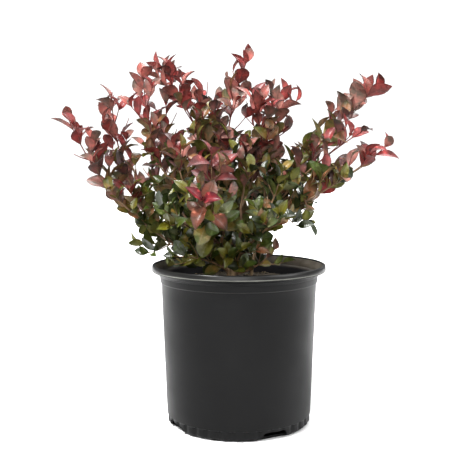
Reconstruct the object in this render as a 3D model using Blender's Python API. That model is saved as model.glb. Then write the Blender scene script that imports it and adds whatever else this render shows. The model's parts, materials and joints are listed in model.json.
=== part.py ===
# A bushy young shrub of upright, leafy shoots in a plain round nursery pot of soil.
# Units are metres, Z is up, the front of the plant faces -Y, and the pot stands on Z = 0.

import math
import random

import bmesh
import bpy
from mathutils import Matrix, Vector, noise
from mathutils.bvhtree import BVHTree

MM = 0.001
UP = Vector((0, 0, 1))

# Pot
POT_SEGMENTS = 72
POT_HEIGHT = 0.207
FOOT_FLAT_RADIUS = 0.0865
FOOT_RADIUS = 0.0905
FLUTE_RADIUS = 0.0925
FLUTE_DEPTH = 0.0013
FLUTE_LOW = 0.0045
FLUTE_HIGH = 0.0125
BODY_FOOT_RADIUS = 0.0936
BODY_FOOT_HEIGHT = 0.0145
BODY_TOP_RADIUS = 0.100
BODY_TOP_HEIGHT = 0.184
COLLAR_RADIUS = 0.1018
COLLAR_TOP = 0.1935
LIP_RADIUS = 0.1125
LIP_LOW = 0.2005
WALL = 0.002
FLOOR = 0.003
NOTCH_AZIMUTHS = (29, 119, 209, 299)
NOTCH_WIDTH_LOW = 0.045
NOTCH_WIDTH_HIGH = 0.030
NOTCH_HEIGHT = 0.0100

# Soil
GAP = 0.0003
SOIL_SEGMENTS = 36
SOIL_TOP = 0.183
SOIL_STEP_RADIUS = 0.076
SOIL_STEP_HEIGHT = 0.0155

# Trunk
TRUNK_FOOT = Vector((-0.0100, -0.0040, SOIL_TOP + GAP))
AXIS = Vector((-0.008, 0.0, SOIL_TOP))
HEAD_HEIGHT = 0.022
TRUNK_SIDES = 12
# Height above the soil and radius, from the root flare to the burl where the limbs leave.
TRUNK_SHAPE = (
    (0, 11.0),
    (2.5, 8.4),
    (6, 6.9),
    (10, 6.4),
    (14, 7.2),
    (18, 9.2),
    (22, 10.4),
    (26, 10.2),
    (29.5, 7.6),
    (31.5, 3.4),
)
FLARE_LOBES = 5
FLARE_DEPTH = 0.16

# Limbs
BOUGH_SIDES = 6
BOUGH_STEPS = 5
BOUGH_FOOT_RADIUS = 2.3
BOUGH_TIP_RADIUS = 1.75
SHOOT_FOOT_RADIUS = 1.45
SHOOT_TIP_RADIUS = 0.5
TWIG_FOOT_RADIUS = 0.8
TWIG_TIP_RADIUS = 0.45
SIDE_STEM_FOOT = Vector((0.0150, 0.0020, SOIL_TOP + GAP))
SIDE_STEM_TIP = Vector((0.0330, 0.0040, 0.284))

# Each bough: azimuth and elevation of its seat on the burl, then azimuth, reach and rise of its end.
BOUGHS = {
    "bough_left": (174, 18, 179, 76, 49),
    "bough_left_back": (154, 44, 172, 40, 72),
    "bough_left_front": (220, 36, 216, 38, 62),
    "bough_top_left": (204, 68, 200, 18, 98),
    "bough_top": (60, 76, 120, 8, 92),
    "bough_right": (30, 42, 18, 44, 80),
    "bough_right_low": (336, 26, 334, 42, 80),
    "bough_front": (256, 42, 238, 44, 60),
    "bough_front_right": (300, 32, 300, 42, 52),
    "bough_inner_right": (330, 66, 330, 12, 96),
    "bough_back_left": (138, 22, 132, 50, 54),
    "bough_back": (98, 42, 92, 46, 62),
    "bough_back_right": (62, 22, 54, 46, 56),
}

# Each mass: where it starts, azimuth, reach and rise of its tip, how much flatter
# than its chord it sets off (degrees), the length of its largest leaves, and its seed.
MASSES = {
    "leaves_far_left": ("bough_left", 182.7, 210, 216, 20, 34, 76),
    "leaves_left": ("bough_left", 172.8, 158, 245, 26, 33, 137),
    "leaves_upper_left": ("bough_left_back", 195, 114, 265, 24, 33, 134),
    "leaves_upper_left_back": ("bough_left_back", 150.6, 102, 239, 28, 32, 111),
    "leaves_top_left": ("bough_top_left", 146, 125, 287, -18, 34, 9),
    "leaves_top_back": ("bough_top", 110, 139, 267, -6, 34, 103),
    "leaves_top": ("bough_top", 56.5, 36, 291, -22, 33, 36),
    "leaves_inner_back": ("bough_top_left", 120, 104, 194, -10, 28, 129),
    "leaves_top_right": ("side_stem", 298, 45, 249, -24, 34, 63),
    "leaves_upper_right": ("side_stem", 47.4, 109, 253, -16, 32, 117),
    "leaves_far_right": ("bough_right", 3, 190, 253, -10, 38, 35),
    "leaves_right": ("bough_right", 340, 174, 196, -12, 36, 8),
    "leaves_right_low": ("bough_right_low", 334, 206, 178, 9, 34, 118),
    "leaves_right_drooping": ("bough_right_low", 329, 117, 80, -26, 28, 88),
    "leaves_rosette": ("bough_front", 258, 157, 117, 0, 37, 10),
    "leaves_front": ("bough_front", 258, 115, 174, 24, 35, 40),
    "leaves_front_right": ("bough_front_right", 293.5, 142, 98, 0, 28, 7),
    "leaves_front_right_high": ("bough_front_right", 312, 92, 152, 12, 30, 117),
    "leaves_inner_front_right": ("bough_inner_right", 318, 32, 182, 0, 29, 45),
    "leaves_inner_right": ("bough_inner_right", 18, 42, 188, 8, 29, 90),
    "leaves_inner_left": ("bough_left_front", 219.5, 94, 185, 14, 30, 133),
    "leaves_front_left": ("bough_left_front", 228, 128, 104, 8, 29, 25),
    "leaves_back_left_high": ("bough_back_left", 140, 170, 150, 10, 31, 30),
    "leaves_back_left": ("bough_back_left", 118, 178, 112, 10, 30, 138),
    "leaves_back_high": ("bough_back", 98, 140, 200, 12, 31, 45),
    "leaves_back": ("bough_back", 75, 186, 128, 8, 31, 3),
    "leaves_back_right_high": ("bough_back_right", 52, 160, 165, 10, 31, 35),
    "leaves_back_right": ("bough_back_right", 33, 146, 130, 8, 30, 90),
    "leaves_low_right": ("trunk", 346, 60, 50, 20, 20, 119),
    "leaves_low_left": ("trunk", 190, 124, 50, -24, 33, 24),
    "leaves_low_front_left": ("trunk", 219, 96, 40, -14, 28, 30),
    "leaves_low_front": ("trunk", 266, 84, 44, -10, 28, 79),
    "leaves_low_front_right": ("trunk", 288, 60, 66, -6, 25, 133),
    "leaves_low_back": ("trunk", 100, 122, 60, -10, 28, 11),
    "leaves_low_back_left": ("trunk", 148, 118, 54, -10, 28, 20),
    "leaves_low_back_right": ("trunk", 64, 90, 54, -10, 26, 58),
}

# Masses whose grown leaves stand otherwise: their angle to the stem and how far they turn up.
HABITS = {"leaves_rosette": (84, 0.0), "leaves_front": (78, 0.2)}

# Azimuth and height above the soil at which each low mass leaves the trunk.
LOW_SEATS = {
    "leaves_low_right": (346, 9),
    "leaves_low_left": (198, 10),
    "leaves_low_front_left": (226, 10),
    "leaves_low_front": (266, 12),
    "leaves_low_front_right": (288, 8),
    "leaves_low_back": (100, 10),
    "leaves_low_back_left": (148, 8),
    "leaves_low_back_right": (64, 12),
}

# Openings that show the sky from the front: across, height and radius in millimetres, where
# the sight line from EYE crosses the plane through the trunk. No leaf grows into them.
EYE = Vector((-0.00245, -1.085, 0.348))
OPENINGS = (
    (-221, 359, 15),
    (-203, 330, 17),
    (-199, 406, 13),
    (-182, 293, 17),
    (-181, 391, 10),
    (-166, 272, 12),
    (-155, 217, 16),
    (-152, 439, 14),
    (-147, 257, 13),
    (-142, 399, 13),
    (-127, 333, 9),
    (-107, 419, 11),
    (-96, 330, 9),
    (-75, 396, 13),
    (-39, 447, 14),
    (-18, 464, 13),
    (0, 392, 14),
    (22, 450, 13),
    (66, 254, 10),
    (66, 368, 8),
    (78, 383, 13),
    (79, 234, 19),
    (95, 407, 18),
    (112, 280, 12),
    (137, 303, 12),
    (138, 357, 11),
    (153, 390, 10),
    (160, 322, 12),
    (176, 372, 11),
)

# Leaves
LEAF_TIP_LENGTH = 20
TERMINAL = 7
LEAF_WIDTH_TIP = 0.42
LEAF_WIDTH = 0.6
LEAF_HALF_THICKNESS = 0.6
LEAF_FOLD = 20
GROWN_BEHIND_TIP = 32
PAIR_SPACING_TIP = 10
PAIR_SPACING = 22
BARE_FOOT = 9
TURN_UP = 0.8
SPREAD_TIP = 30
SPREAD = 46
TWIG_LENGTH = 38
TWIG_BEHIND = 36
TWIG_ALONG = 18
TWIG_CHANCE = 0.5
TWIG_LEAF_SHARE = 0.85
TWIGS = 2
TWIG_LEAVES = 3
CLEAR = 0.45
FACES_KEPT = 0.6

COLOURS = {
    "pot": ((0.016, 0.018, 0.021), 0.5),
    "soil": ((0.028, 0.019, 0.013), 0.95),
    "bark": ((0.300, 0.190, 0.105), 0.85),
    "bough": ((0.170, 0.085, 0.050), 0.75),
    "wine": ((0.180, 0.030, 0.032), 0.45),
    "bronze": ((0.105, 0.050, 0.026), 0.45),
    "green": ((0.028, 0.052, 0.016), 0.45),
}


def clear_scene():
    for item in list(bpy.data.objects):
        bpy.data.objects.remove(item, do_unlink=True)


def material(name, kind):
    colour, roughness = COLOURS[kind]
    made = bpy.data.materials.new(name)
    made.use_nodes = True
    shader = made.node_tree.nodes["Principled BSDF"]
    shader.inputs["Base Color"].default_value = (*colour, 1)
    shader.inputs["Roughness"].default_value = roughness
    shader.inputs["Metallic"].default_value = 0
    made.diffuse_color = (*colour, 1)
    return made


def add_object(name, bm, kind=None, smooth=None, parent=None):
    bmesh.ops.recalc_face_normals(bm, faces=bm.faces)
    mesh = bpy.data.meshes.new(name)
    bm.to_mesh(mesh)
    bm.free()
    item = bpy.data.objects.new(name, mesh)
    bpy.context.scene.collection.objects.link(item)
    if kind:
        mesh.materials.append(material(name, kind))
    if smooth:
        mesh.shade_smooth()
        mesh.set_sharp_from_angle(angle=math.radians(smooth))
    if parent:
        item.parent = parent
    return item


def apply_modifiers(item):
    graph = bpy.context.evaluated_depsgraph_get()
    graph.update()
    made = bpy.data.meshes.new_from_object(item.evaluated_get(graph))
    item.modifiers.clear()
    old = item.data
    item.data = made
    bpy.data.meshes.remove(old)


def spun(profile, steps):
    bm = bmesh.new()
    verts = [bm.verts.new((radius, 0, height)) for radius, height in profile]
    edges = [bm.edges.new(pair) for pair in zip(verts, verts[1:])]
    bmesh.ops.spin(
        bm,
        geom=verts + edges,
        cent=(0, 0, 0),
        axis=(0, 0, 1),
        angle=math.tau,
        steps=steps,
        use_merge=True,
    )
    bmesh.ops.remove_doubles(bm, verts=bm.verts, dist=0.00001)
    return bm


def direction(azimuth, elevation):
    turn = math.radians(azimuth)
    lift = math.radians(elevation)
    return Vector((math.cos(turn) * math.cos(lift), math.sin(turn) * math.cos(lift), math.sin(lift)))


def place(azimuth, reach, rise):
    turn = math.radians(azimuth)
    return AXIS + Vector((math.cos(turn) * reach, math.sin(turn) * reach, rise)) * MM


def wall_radius(height):
    share = (height - BODY_FOOT_HEIGHT) / (BODY_TOP_HEIGHT - BODY_FOOT_HEIGHT)
    return BODY_FOOT_RADIUS + (BODY_TOP_RADIUS - BODY_FOOT_RADIUS) * share - WALL


def make_pot(parent):
    outside = [
        (0, 0),
        (FOOT_FLAT_RADIUS, 0),
        (FOOT_RADIUS - 0.001, 0.0012),
        (FOOT_RADIUS, FLUTE_LOW - 0.0005),
        (FLUTE_RADIUS, FLUTE_LOW),
        (FLUTE_RADIUS, FLUTE_HIGH),
        (BODY_FOOT_RADIUS, BODY_FOOT_HEIGHT),
        (BODY_TOP_RADIUS, BODY_TOP_HEIGHT),
        (COLLAR_RADIUS - 0.0009, BODY_TOP_HEIGHT + 0.0006),
        (COLLAR_RADIUS, COLLAR_TOP - 0.0008),
        (COLLAR_RADIUS + 0.0010, COLLAR_TOP + 0.0002),
        (LIP_RADIUS - 0.0045, LIP_LOW - 0.0018),
        (LIP_RADIUS - 0.0018, LIP_LOW - 0.0013),
        (LIP_RADIUS, LIP_LOW),
        (LIP_RADIUS, POT_HEIGHT - 0.0015),
        (LIP_RADIUS - 0.0022, POT_HEIGHT),
    ]
    inside = [
        (LIP_RADIUS - 0.0040, POT_HEIGHT),
        (LIP_RADIUS - 0.0075, POT_HEIGHT - 0.005),
        (LIP_RADIUS - 0.0100, POT_HEIGHT - 0.012),
        (BODY_TOP_RADIUS - 0.0015, COLLAR_TOP - 0.0005),
        (BODY_TOP_RADIUS - WALL, BODY_TOP_HEIGHT),
        (wall_radius(BODY_FOOT_HEIGHT), BODY_FOOT_HEIGHT),
        (FOOT_RADIUS - WALL, FLOOR),
        (0, FLOOR),
    ]
    bm = spun(outside + inside, POT_SEGMENTS)
    step = math.tau / POT_SEGMENTS
    for vert in bm.verts:
        radius = math.hypot(vert.co.x, vert.co.y)
        column = round(math.atan2(vert.co.y, vert.co.x) / step)
        if abs(radius - FLUTE_RADIUS) < 0.00005 and column % 2:
            vert.co.x *= 1 - FLUTE_DEPTH / radius
            vert.co.y *= 1 - FLUTE_DEPTH / radius
    pot = add_object("pot", bm, "pot", 35, parent)
    for azimuth in NOTCH_AZIMUTHS:
        cutter = notch_cutter(azimuth, parent)
        cut = pot.modifiers.new("notch", "BOOLEAN")
        cut.operation = "DIFFERENCE"
        cut.solver = "EXACT"
        cut.object = cutter
    return pot


def notch_cutter(azimuth, parent):
    bm = bmesh.new()
    near = FOOT_RADIUS - 0.0075
    far = BODY_FOOT_RADIUS + 0.004
    half_low = NOTCH_WIDTH_LOW / 2
    half_high = NOTCH_WIDTH_HIGH / 2
    section = ((-half_low, -0.001), (half_low, -0.001), (half_high, NOTCH_HEIGHT), (-half_high, NOTCH_HEIGHT))
    front = [bm.verts.new((far, across, height)) for across, height in section]
    face = bm.faces.new(front)
    out = bmesh.ops.extrude_face_region(bm, geom=[face])
    moved = [item for item in out["geom"] if isinstance(item, bmesh.types.BMVert)]
    bmesh.ops.translate(bm, verts=moved, vec=(near - far, 0, 0))
    cutter = add_object(f"cut_notch_{azimuth}", bm, parent=parent)
    cutter.rotation_euler.z = math.radians(azimuth)
    cutter.hide_render = True
    cutter.display_type = "WIRE"
    return cutter


def make_soil(parent):
    profile = [
        (0, FLOOR + GAP),
        (SOIL_STEP_RADIUS, FLOOR + GAP),
        (SOIL_STEP_RADIUS, SOIL_STEP_HEIGHT),
        (wall_radius(SOIL_STEP_HEIGHT) - 0.0004, SOIL_STEP_HEIGHT),
        (wall_radius(SOIL_TOP) - 0.0004, SOIL_TOP - 0.001),
        (0.086, SOIL_TOP),
        (0.072, SOIL_TOP),
        (0.055, SOIL_TOP),
        (0.036, SOIL_TOP),
        (0, SOIL_TOP),
    ]
    bm = spun(profile, SOIL_SEGMENTS)
    for vert in bm.verts:
        radius = math.hypot(vert.co.x, vert.co.y)
        if vert.co.z > SOIL_TOP - 0.0001 and radius > 0.04:
            vert.co.z += 0.0016 * noise.noise(vert.co * 45) - 0.0003
    return add_object("soil", bm, "soil", 60, parent)


def make_trunk(parent):
    bm = bmesh.new()
    rings = []
    for height, radius in TRUNK_SHAPE:
        share = min(1, height / (HEAD_HEIGHT / MM))
        centre = TRUNK_FOOT.lerp(Vector((AXIS.x, AXIS.y, TRUNK_FOOT.z)), share)
        flare = FLARE_DEPTH * max(0, 1 - height / 8)
        ring = []
        for k in range(TRUNK_SIDES):
            turn = math.tau * k / TRUNK_SIDES
            knob = 0.05 * noise.noise(Vector((math.cos(turn), math.sin(turn), height * 0.11)) * 1.7)
            reach = radius * MM * (1 + knob + flare * math.sin(FLARE_LOBES * turn))
            outward = Vector((math.cos(turn) * reach, math.sin(turn) * reach, height * MM))
            ring.append(bm.verts.new(centre + outward))
        rings.append(ring)
    join_rings(bm, rings)
    return add_object("trunk", bm, "bark", 60, parent)


def join_rings(bm, rings):
    for low, high in zip(rings, rings[1:]):
        for k in range(len(low)):
            bm.faces.new((low[k - 1], low[k], high[k], high[k - 1]))
    bm.faces.new(rings[0])
    bm.faces.new(rings[-1])


def limb_rings(bm, points, radii, sides):
    # A tapering limb: one ring at each point, its side carried along so that it doesn't twist.
    rings = []
    side = None
    for i, point in enumerate(points):
        ahead = points[min(i + 1, len(points) - 1)] - points[max(i - 1, 0)]
        ahead.normalize()
        if side is None:
            side = ahead.orthogonal()
        side = (side - ahead * side.dot(ahead)).normalized()
        across = ahead.cross(side)
        ring = []
        for k in range(sides):
            turn = math.tau * k / sides
            outward = side * math.cos(turn) + across * math.sin(turn)
            ring.append(bm.verts.new(point + outward * radii[i] * MM))
        rings.append(ring)
    join_rings(bm, rings)


def limb(points, radii, sides):
    bm = bmesh.new()
    limb_rings(bm, points, radii, sides)
    return bm


def bezier(start, middle, end, share):
    back = 1 - share
    return start * back * back + middle * 2 * back * share + end * share * share


def bezier_ahead(start, middle, end, share):
    return ((middle - start) * (1 - share) + (end - middle) * share).normalized()


def tree_of(bm):
    tree = BVHTree.FromBMesh(bm)
    bm.free()
    return tree


def surface_of(bm):
    points = [vert.co.copy() for vert in bm.verts]
    return tree_of(bm), points


def apart_by(one, other):
    # The clearance between two small solids, or none where they cross.
    if one[0].overlap(other[0]):
        return 0
    there = min(other[0].find_nearest(point)[3] for point in one[1])
    back = min(one[0].find_nearest(point)[3] for point in other[1])
    return min(there, back)


def stand_clear(base, start, ahead, end, reach, radii, sides):
    # Moves a limb's foot outward along its own line until it stands GAP clear of its base.
    for _ in range(120):
        middle = start + ahead * (end - start).length * reach
        points = [bezier(start, middle, end, i / 12) for i in range(3)]
        if apart_by(surface_of(limb(points, radii, sides)), base) >= GAP:
            break
        start = start + ahead * 0.05 * MM
    return start, middle, end


def make_boughs(parent, trunk):
    ends = {}
    limbs = {}
    for name, (seat_azimuth, seat_elevation, azimuth, reach, rise) in BOUGHS.items():
        ahead = direction(seat_azimuth, seat_elevation)
        seat = trunk[0].ray_cast(AXIS + Vector((0, 0, HEAD_HEIGHT)), ahead)[0]
        radii = (BOUGH_FOOT_RADIUS, BOUGH_FOOT_RADIUS, BOUGH_FOOT_RADIUS)
        line = stand_clear(trunk, seat, ahead, place(azimuth, reach, rise), 0.42, radii, BOUGH_SIDES)
        start, middle, end = line
        points = [bezier(start, middle, end, i / BOUGH_STEPS) for i in range(BOUGH_STEPS + 1)]
        ends[name] = (end, bezier_ahead(start, middle, end, 1))
        limbs[name] = points
    foot = SIDE_STEM_FOOT
    tip = SIDE_STEM_TIP
    middle = foot.lerp(tip, 0.5) + Vector((-0.003, 0, 0))
    limbs["side_stem"] = [bezier(foot, middle, tip, i / BOUGH_STEPS) for i in range(BOUGH_STEPS + 1)]
    limbs["side_stem"][0].z = foot.z
    ends["side_stem"] = (tip, bezier_ahead(foot, middle, tip, 1))
    for name, points in limbs.items():
        radii = []
        for i in range(len(points)):
            share = i / (len(points) - 1)
            radii.append(BOUGH_FOOT_RADIUS + (BOUGH_TIP_RADIUS - BOUGH_FOOT_RADIUS) * share)
        bm = limb(points, radii, BOUGH_SIDES)
        if name == "side_stem":
            for vert in bm.verts:
                if vert.co.z < foot.z + 0.003:
                    vert.co.z = foot.z
        kind = "bark" if name == "side_stem" else "bough"
        limbs[name] = add_object(name, bm, kind, 60, parent)
    return ends, limbs


def mass_line(name, ends, bases):
    # Start, middle and end of the mass's stem, which sets off from the trunk or from a limb's end.
    holder, azimuth, reach, rise, turn, _, _ = MASSES[name]
    end = place(azimuth, reach, rise)
    if holder == "trunk":
        seat_azimuth, height = LOW_SEATS[name]
        origin = AXIS + Vector((0, 0, height * MM))
        chord = end - origin
        elevation = math.degrees(math.atan2(chord.z, math.hypot(chord.x, chord.y))) - turn
        ahead = direction(seat_azimuth, elevation)
        start = bases[holder][0].ray_cast(origin, ahead)[0]
    else:
        tip, outward = ends[holder]
        chord = end - tip
        elevation = math.degrees(math.atan2(chord.z, math.hypot(chord.x, chord.y))) - turn
        ahead = direction(math.degrees(math.atan2(chord.y, chord.x)), elevation)
        neighbour = next(key for key, row in MASSES.items() if row[0] == holder and key != name)
        aside = chord.normalized() - (place(*MASSES[neighbour][1:4]) - tip).normalized()
        aside = (aside - outward * aside.dot(outward)).normalized()
        start = tip + aside * (SHOOT_FOOT_RADIUS + 0.35) * MM
    radii = (SHOOT_FOOT_RADIUS, SHOOT_FOOT_RADIUS, SHOOT_FOOT_RADIUS)
    return stand_clear(bases[holder], start, ahead, end, 0.5, radii, 3)


def grown(behind_tip):
    return min(1, behind_tip / GROWN_BEHIND_TIP)


def stem_nodes(length, largest):
    # Distances of the leaf pairs from the tip, close at the tip and wider below.
    found = []
    behind = TERMINAL + 3.0
    while behind < length - BARE_FOOT:
        found.append(behind)
        behind += PAIR_SPACING_TIP + (PAIR_SPACING - PAIR_SPACING_TIP) * grown(behind) * largest / 33
    return found


def leaf_frame(rng, root, ahead, side, spread, length, width_share):
    # A leaf's root, its axis, the way its upper face looks, its length and width.
    out = (ahead * math.cos(spread) + side * math.sin(spread)).normalized()
    out = (out + Vector((0, 0, 0.12))).normalized()
    upper = ahead - out * ahead.dot(out) + Vector((0, 0, 0.35))
    upper = (upper - out * upper.dot(out)).normalized()
    roll = Matrix.Rotation(math.radians(rng.uniform(-22, 22)), 3, out)
    width = length * width_share * rng.uniform(0.9, 1.1)
    return root, out, roll @ upper, length, width


def grow_stem(rng, line, largest, widest, turn_up):
    # The stem's points, the nodes where twigs may leave it, and its leaves.
    start, middle, end = line
    steps = 40
    fine = [bezier(start, middle, end, i / steps) for i in range(steps + 1)]
    run = [0.0]
    for low, high in zip(fine, fine[1:]):
        run.append(run[-1] + (high - low).length / MM)
    total = run[-1]
    turn = rng.uniform(0, math.tau)
    points = [bezier(start, middle, end, 1 - TERMINAL / total)]
    nodes = []
    leaves = []
    for number, behind in enumerate(stem_nodes(total, largest)):
        along = total - behind
        i = max(k for k in range(steps) if run[k] <= along)
        share = (i + (along - run[i]) / (run[i + 1] - run[i])) / steps
        root = bezier(start, middle, end, share)
        ahead = bezier_ahead(start, middle, end, share)
        points.append(bezier(start, middle, end, max(share - 0.45 * PAIR_SPACING / total, share * 0.6)))
        first = ahead.orthogonal().normalized()
        turn += math.pi / 2 + rng.uniform(-0.28, 0.28)
        age = grown(behind)
        length = LEAF_TIP_LENGTH + (largest - LEAF_TIP_LENGTH) * age ** 0.7
        length *= rng.uniform(0.88, 1.08)
        width_share = LEAF_WIDTH_TIP + (LEAF_WIDTH - LEAF_WIDTH_TIP) * age
        for half in (0, math.pi):
            side = Matrix.Rotation(turn + half + rng.uniform(-0.2, 0.2), 3, ahead) @ first
            side = (side + (UP - ahead * ahead.z) * turn_up).normalized()
            spread = math.radians(SPREAD_TIP + (widest - SPREAD_TIP) * age + rng.uniform(-9, 9))
            apart = math.copysign(0.9, half - 1) + rng.uniform(-0.4, 0.4)
            foot = root + ahead * apart * (0.6 + age) * MM
            leaves.append(leaf_frame(rng, foot, ahead, side, spread, length, width_share))
            nodes.append((behind, along, root, ahead, side))
        if number == 0:
            foot = points[0] - ahead * MM
            leaves.append(leaf_frame(rng, foot, ahead, first, 0.14, TERMINAL * 1.3, LEAF_WIDTH))
    points.append(start)
    points.reverse()
    return points, nodes, leaves


def grow_mass(name, line, largest, seed):
    habit = HABITS.get(name, (SPREAD, TURN_UP))
    points, nodes, leaves = grow_stem(random.Random(seed), line, largest, *habit)
    return points, grow_twigs(seed, nodes, largest), leaves


def grow_twigs(seed, nodes, largest):
    # Side twigs leave from the leaf axils, well below the tip and above the bare foot.
    twigs = []
    for number, (behind, along, root, ahead, side) in enumerate(nodes):
        rng = random.Random(seed * 100 + number)
        if behind < TWIG_BEHIND or along < TWIG_ALONG or rng.random() > TWIG_CHANCE:
            continue
        reach = TWIG_LENGTH * rng.uniform(0.75, 1.15) * MM
        way = (ahead * math.cos(0.8) + side * math.sin(0.8)).normalized()
        bend = (way + ahead * 0.5 + Vector((0, 0, 0.2))).normalized()
        line = (root, root + way * reach * 0.5, root + (way + bend) * reach * 0.5)
        points, _, leaves = grow_stem(rng, line, largest * TWIG_LEAF_SHARE, SPREAD, TURN_UP)
        twigs.append((points, leaves[:TWIG_LEAVES]))
    return twigs[:TWIGS]


def in_opening(frame):
    root, out, _, length, _ = frame
    for share in (0.5, 0.85):
        sight = root + out * length * share * MM - EYE
        seen = (EYE - sight * (EYE.y / sight.y)) / MM
        for across, height, radius in OPENINGS:
            if math.hypot(seen.x - across, seen.z - height) < radius:
                return True
    return False


def leaf_mesh(frame, swell=0.0):
    # A folded blade with a blunt five-cornered outline and a thick middle, pointed at its root.
    root, out, upper, length, width = frame
    across = out.cross(upper)
    half = width * 0.56 + swell
    size = length + swell
    thick = LEAF_HALF_THICKNESS + swell
    lift = math.tan(math.radians(LEAF_FOLD))
    shape = (
        (-0.1, 0, 0),
        (size * 0.5, half, half * lift),
        (size * 0.96, half * 0.4, -size * 0.04),
        (size * 0.96, -half * 0.4, -size * 0.04),
        (size * 0.5, -half, half * lift),
        (size * 0.36, 0, thick * 0.6),
        (size * 0.34, 0, -thick * 1.5),
    )
    verts = [root + (out * x + across * y + upper * z) * MM for x, y, z in shape]
    rim = range(5)
    faces = [(5, k, (k + 1) % 5) for k in rim] + [(6, (k + 1) % 5, k) for k in rim]
    return verts, faces


def leaf_tree(frame, swell=0.0):
    verts, faces = leaf_mesh(frame, swell)
    return BVHTree.FromPolygons(verts, faces)


def surface_of_object(item):
    bm = bmesh.new()
    bm.from_object(item, bpy.context.evaluated_depsgraph_get())
    return surface_of(bm)


def grow_all(ends, limbs, trunk, pot, soil):
    plants = {}
    bases = {name: surface_of_object(item) for name, item in limbs.items()}
    bases["trunk"] = surface_of_object(trunk)
    for name in MASSES:
        points, twigs, leaves = grow_mass(name, mass_line(name, ends, bases), *MASSES[name][5:])
        plants[name] = {"points": points, "twigs": twigs, "leaves": [], "wanted": leaves}
    fixed = [base[0] for base in bases.values()]
    fixed += [surface_of_object(item)[0] for item in (pot, soil)]
    stems = {}
    for name, plant in plants.items():
        radii = taper(len(plant["points"]), SHOOT_FOOT_RADIUS, SHOOT_TIP_RADIUS)
        stems[name] = tree_of(limb(plant["points"], radii, 3))
    taken = {name: [] for name in plants}
    for name, plant in plants.items():
        kept = []
        for points, leaves in plant["twigs"]:
            radii = taper(len(points), TWIG_FOOT_RADIUS + CLEAR, TWIG_TIP_RADIUS + CLEAR)
            tree = tree_of(limb(points[1:], radii[1:], 4))
            if clear_of(tree, points[-1], name, fixed, stems, taken):
                real = taper(len(points), TWIG_FOOT_RADIUS, TWIG_TIP_RADIUS)
                taken[name].append((points[-1], tree_of(limb(points, real, 3))))
                kept.append(points)
                plant["wanted"] += leaves
        plant["twigs"] = kept
    depth = max(len(plant["wanted"]) for plant in plants.values())
    for number in range(depth):
        for name, plant in plants.items():
            if number >= len(plant["wanted"]):
                continue
            frame = plant["wanted"][number]
            centre = frame[0] + frame[1] * frame[3] * 0.5 * MM
            if in_opening(frame):
                continue
            if clear_of(leaf_tree(frame, CLEAR), centre, name, fixed, stems, taken):
                taken[name].append((centre, leaf_tree(frame)))
                plant["leaves"].append(frame)
    return plants


def clear_of(tree, centre, name, fixed, stems, taken):
    for other in fixed:
        if tree.overlap(other):
            return False
    for other, stem in stems.items():
        if other != name and tree.overlap(stem):
            return False
    for other, found in taken.items():
        if other == name:
            continue
        for place_of, thing in found:
            if (place_of - centre).length < 0.055 and tree.overlap(thing):
                return False
    return True


def taper(count, foot, tip):
    return [foot + (tip - foot) * i / (count - 1) for i in range(count)]


def make_mass(name, plant, kind, parent):
    points = plant["points"]
    radii = taper(len(points), SHOOT_FOOT_RADIUS, SHOOT_TIP_RADIUS)
    stem = add_object(name, limb(points, radii, 3), kind, None, parent)
    pieces = bpy.data.collections.new(name + "_pieces")
    for line in plant["twigs"]:
        bm = limb(line, taper(len(line), TWIG_FOOT_RADIUS, TWIG_TIP_RADIUS), 3)
        link_piece(pieces, bm)
    for frame in plant["leaves"]:
        verts, faces = leaf_mesh(frame)
        bm = bmesh.new()
        made = [bm.verts.new(point) for point in verts]
        for face in faces:
            bm.faces.new([made[k] for k in face])
        link_piece(pieces, bm)
    union = stem.modifiers.new("leaves", "BOOLEAN")
    union.operation = "UNION"
    union.operand_type = "COLLECTION"
    union.collection = pieces
    union.solver = "EXACT"
    apply_modifiers(stem)
    for piece in list(pieces.objects):
        bpy.data.objects.remove(piece, do_unlink=True)
    bpy.data.collections.remove(pieces)
    keep_one_body(stem)
    thin = stem.modifiers.new("fewer_faces", "DECIMATE")
    thin.ratio = FACES_KEPT
    apply_modifiers(stem)
    return stem


def link_piece(pieces, bm):
    bmesh.ops.recalc_face_normals(bm, faces=bm.faces)
    mesh = bpy.data.meshes.new("piece")
    bm.to_mesh(mesh)
    bm.free()
    item = bpy.data.objects.new("piece", mesh)
    pieces.objects.link(item)


def keep_one_body(item):
    # Drops loose scrap and the shells of sealed hollows, which leaves the largest closed body.
    bm = bmesh.new()
    bm.from_mesh(item.data)
    bmesh.ops.triangulate(bm, faces=bm.faces)
    left = set(bm.faces)
    bodies = []
    while left:
        body = [left.pop()]
        for face in body:
            for edge in face.edges:
                for other in edge.link_faces:
                    if other in left:
                        left.discard(other)
                        body.append(other)
        bodies.append(body)
    bodies.sort(key=len)
    for body in bodies[:-1]:
        bmesh.ops.delete(bm, geom=body, context="FACES")
    loose = [vert for vert in bm.verts if not vert.link_faces]
    bmesh.ops.delete(bm, geom=loose, context="VERTS")
    item.data.materials.clear()
    bm.to_mesh(item.data)
    bm.free()


clear_scene()
base = bpy.data.objects.new("potted_shrub", None)
bpy.context.scene.collection.objects.link(base)
pot = make_pot(base)
soil = make_soil(base)
trunk = make_trunk(base)
bpy.context.view_layer.update()
ends, limbs = make_boughs(base, surface_of_object(trunk))
bpy.context.view_layer.update()
plants = grow_all(ends, limbs, trunk, pot, soil)
for name, plant in plants.items():
    rise = MASSES[name][3]
    kind = "wine" if rise > 165 else "bronze" if rise > 100 else "green"
    mass = make_mass(name, plant, kind, base)
    mass.data.materials.append(material(name, kind))
    print(name, len(plant["twigs"]), "twigs", len(plant["leaves"]), "leaves")
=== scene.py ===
# A bushy young shrub with wine-red shoots in a black nursery pot.
# The crown grows by the same rule as the solids do, carried on to finer twigs and leaves.

import json
import math
import random

import bmesh
import bpy
from mathutils import Matrix, Vector, noise
from mathutils.bvhtree import BVHTree

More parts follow.
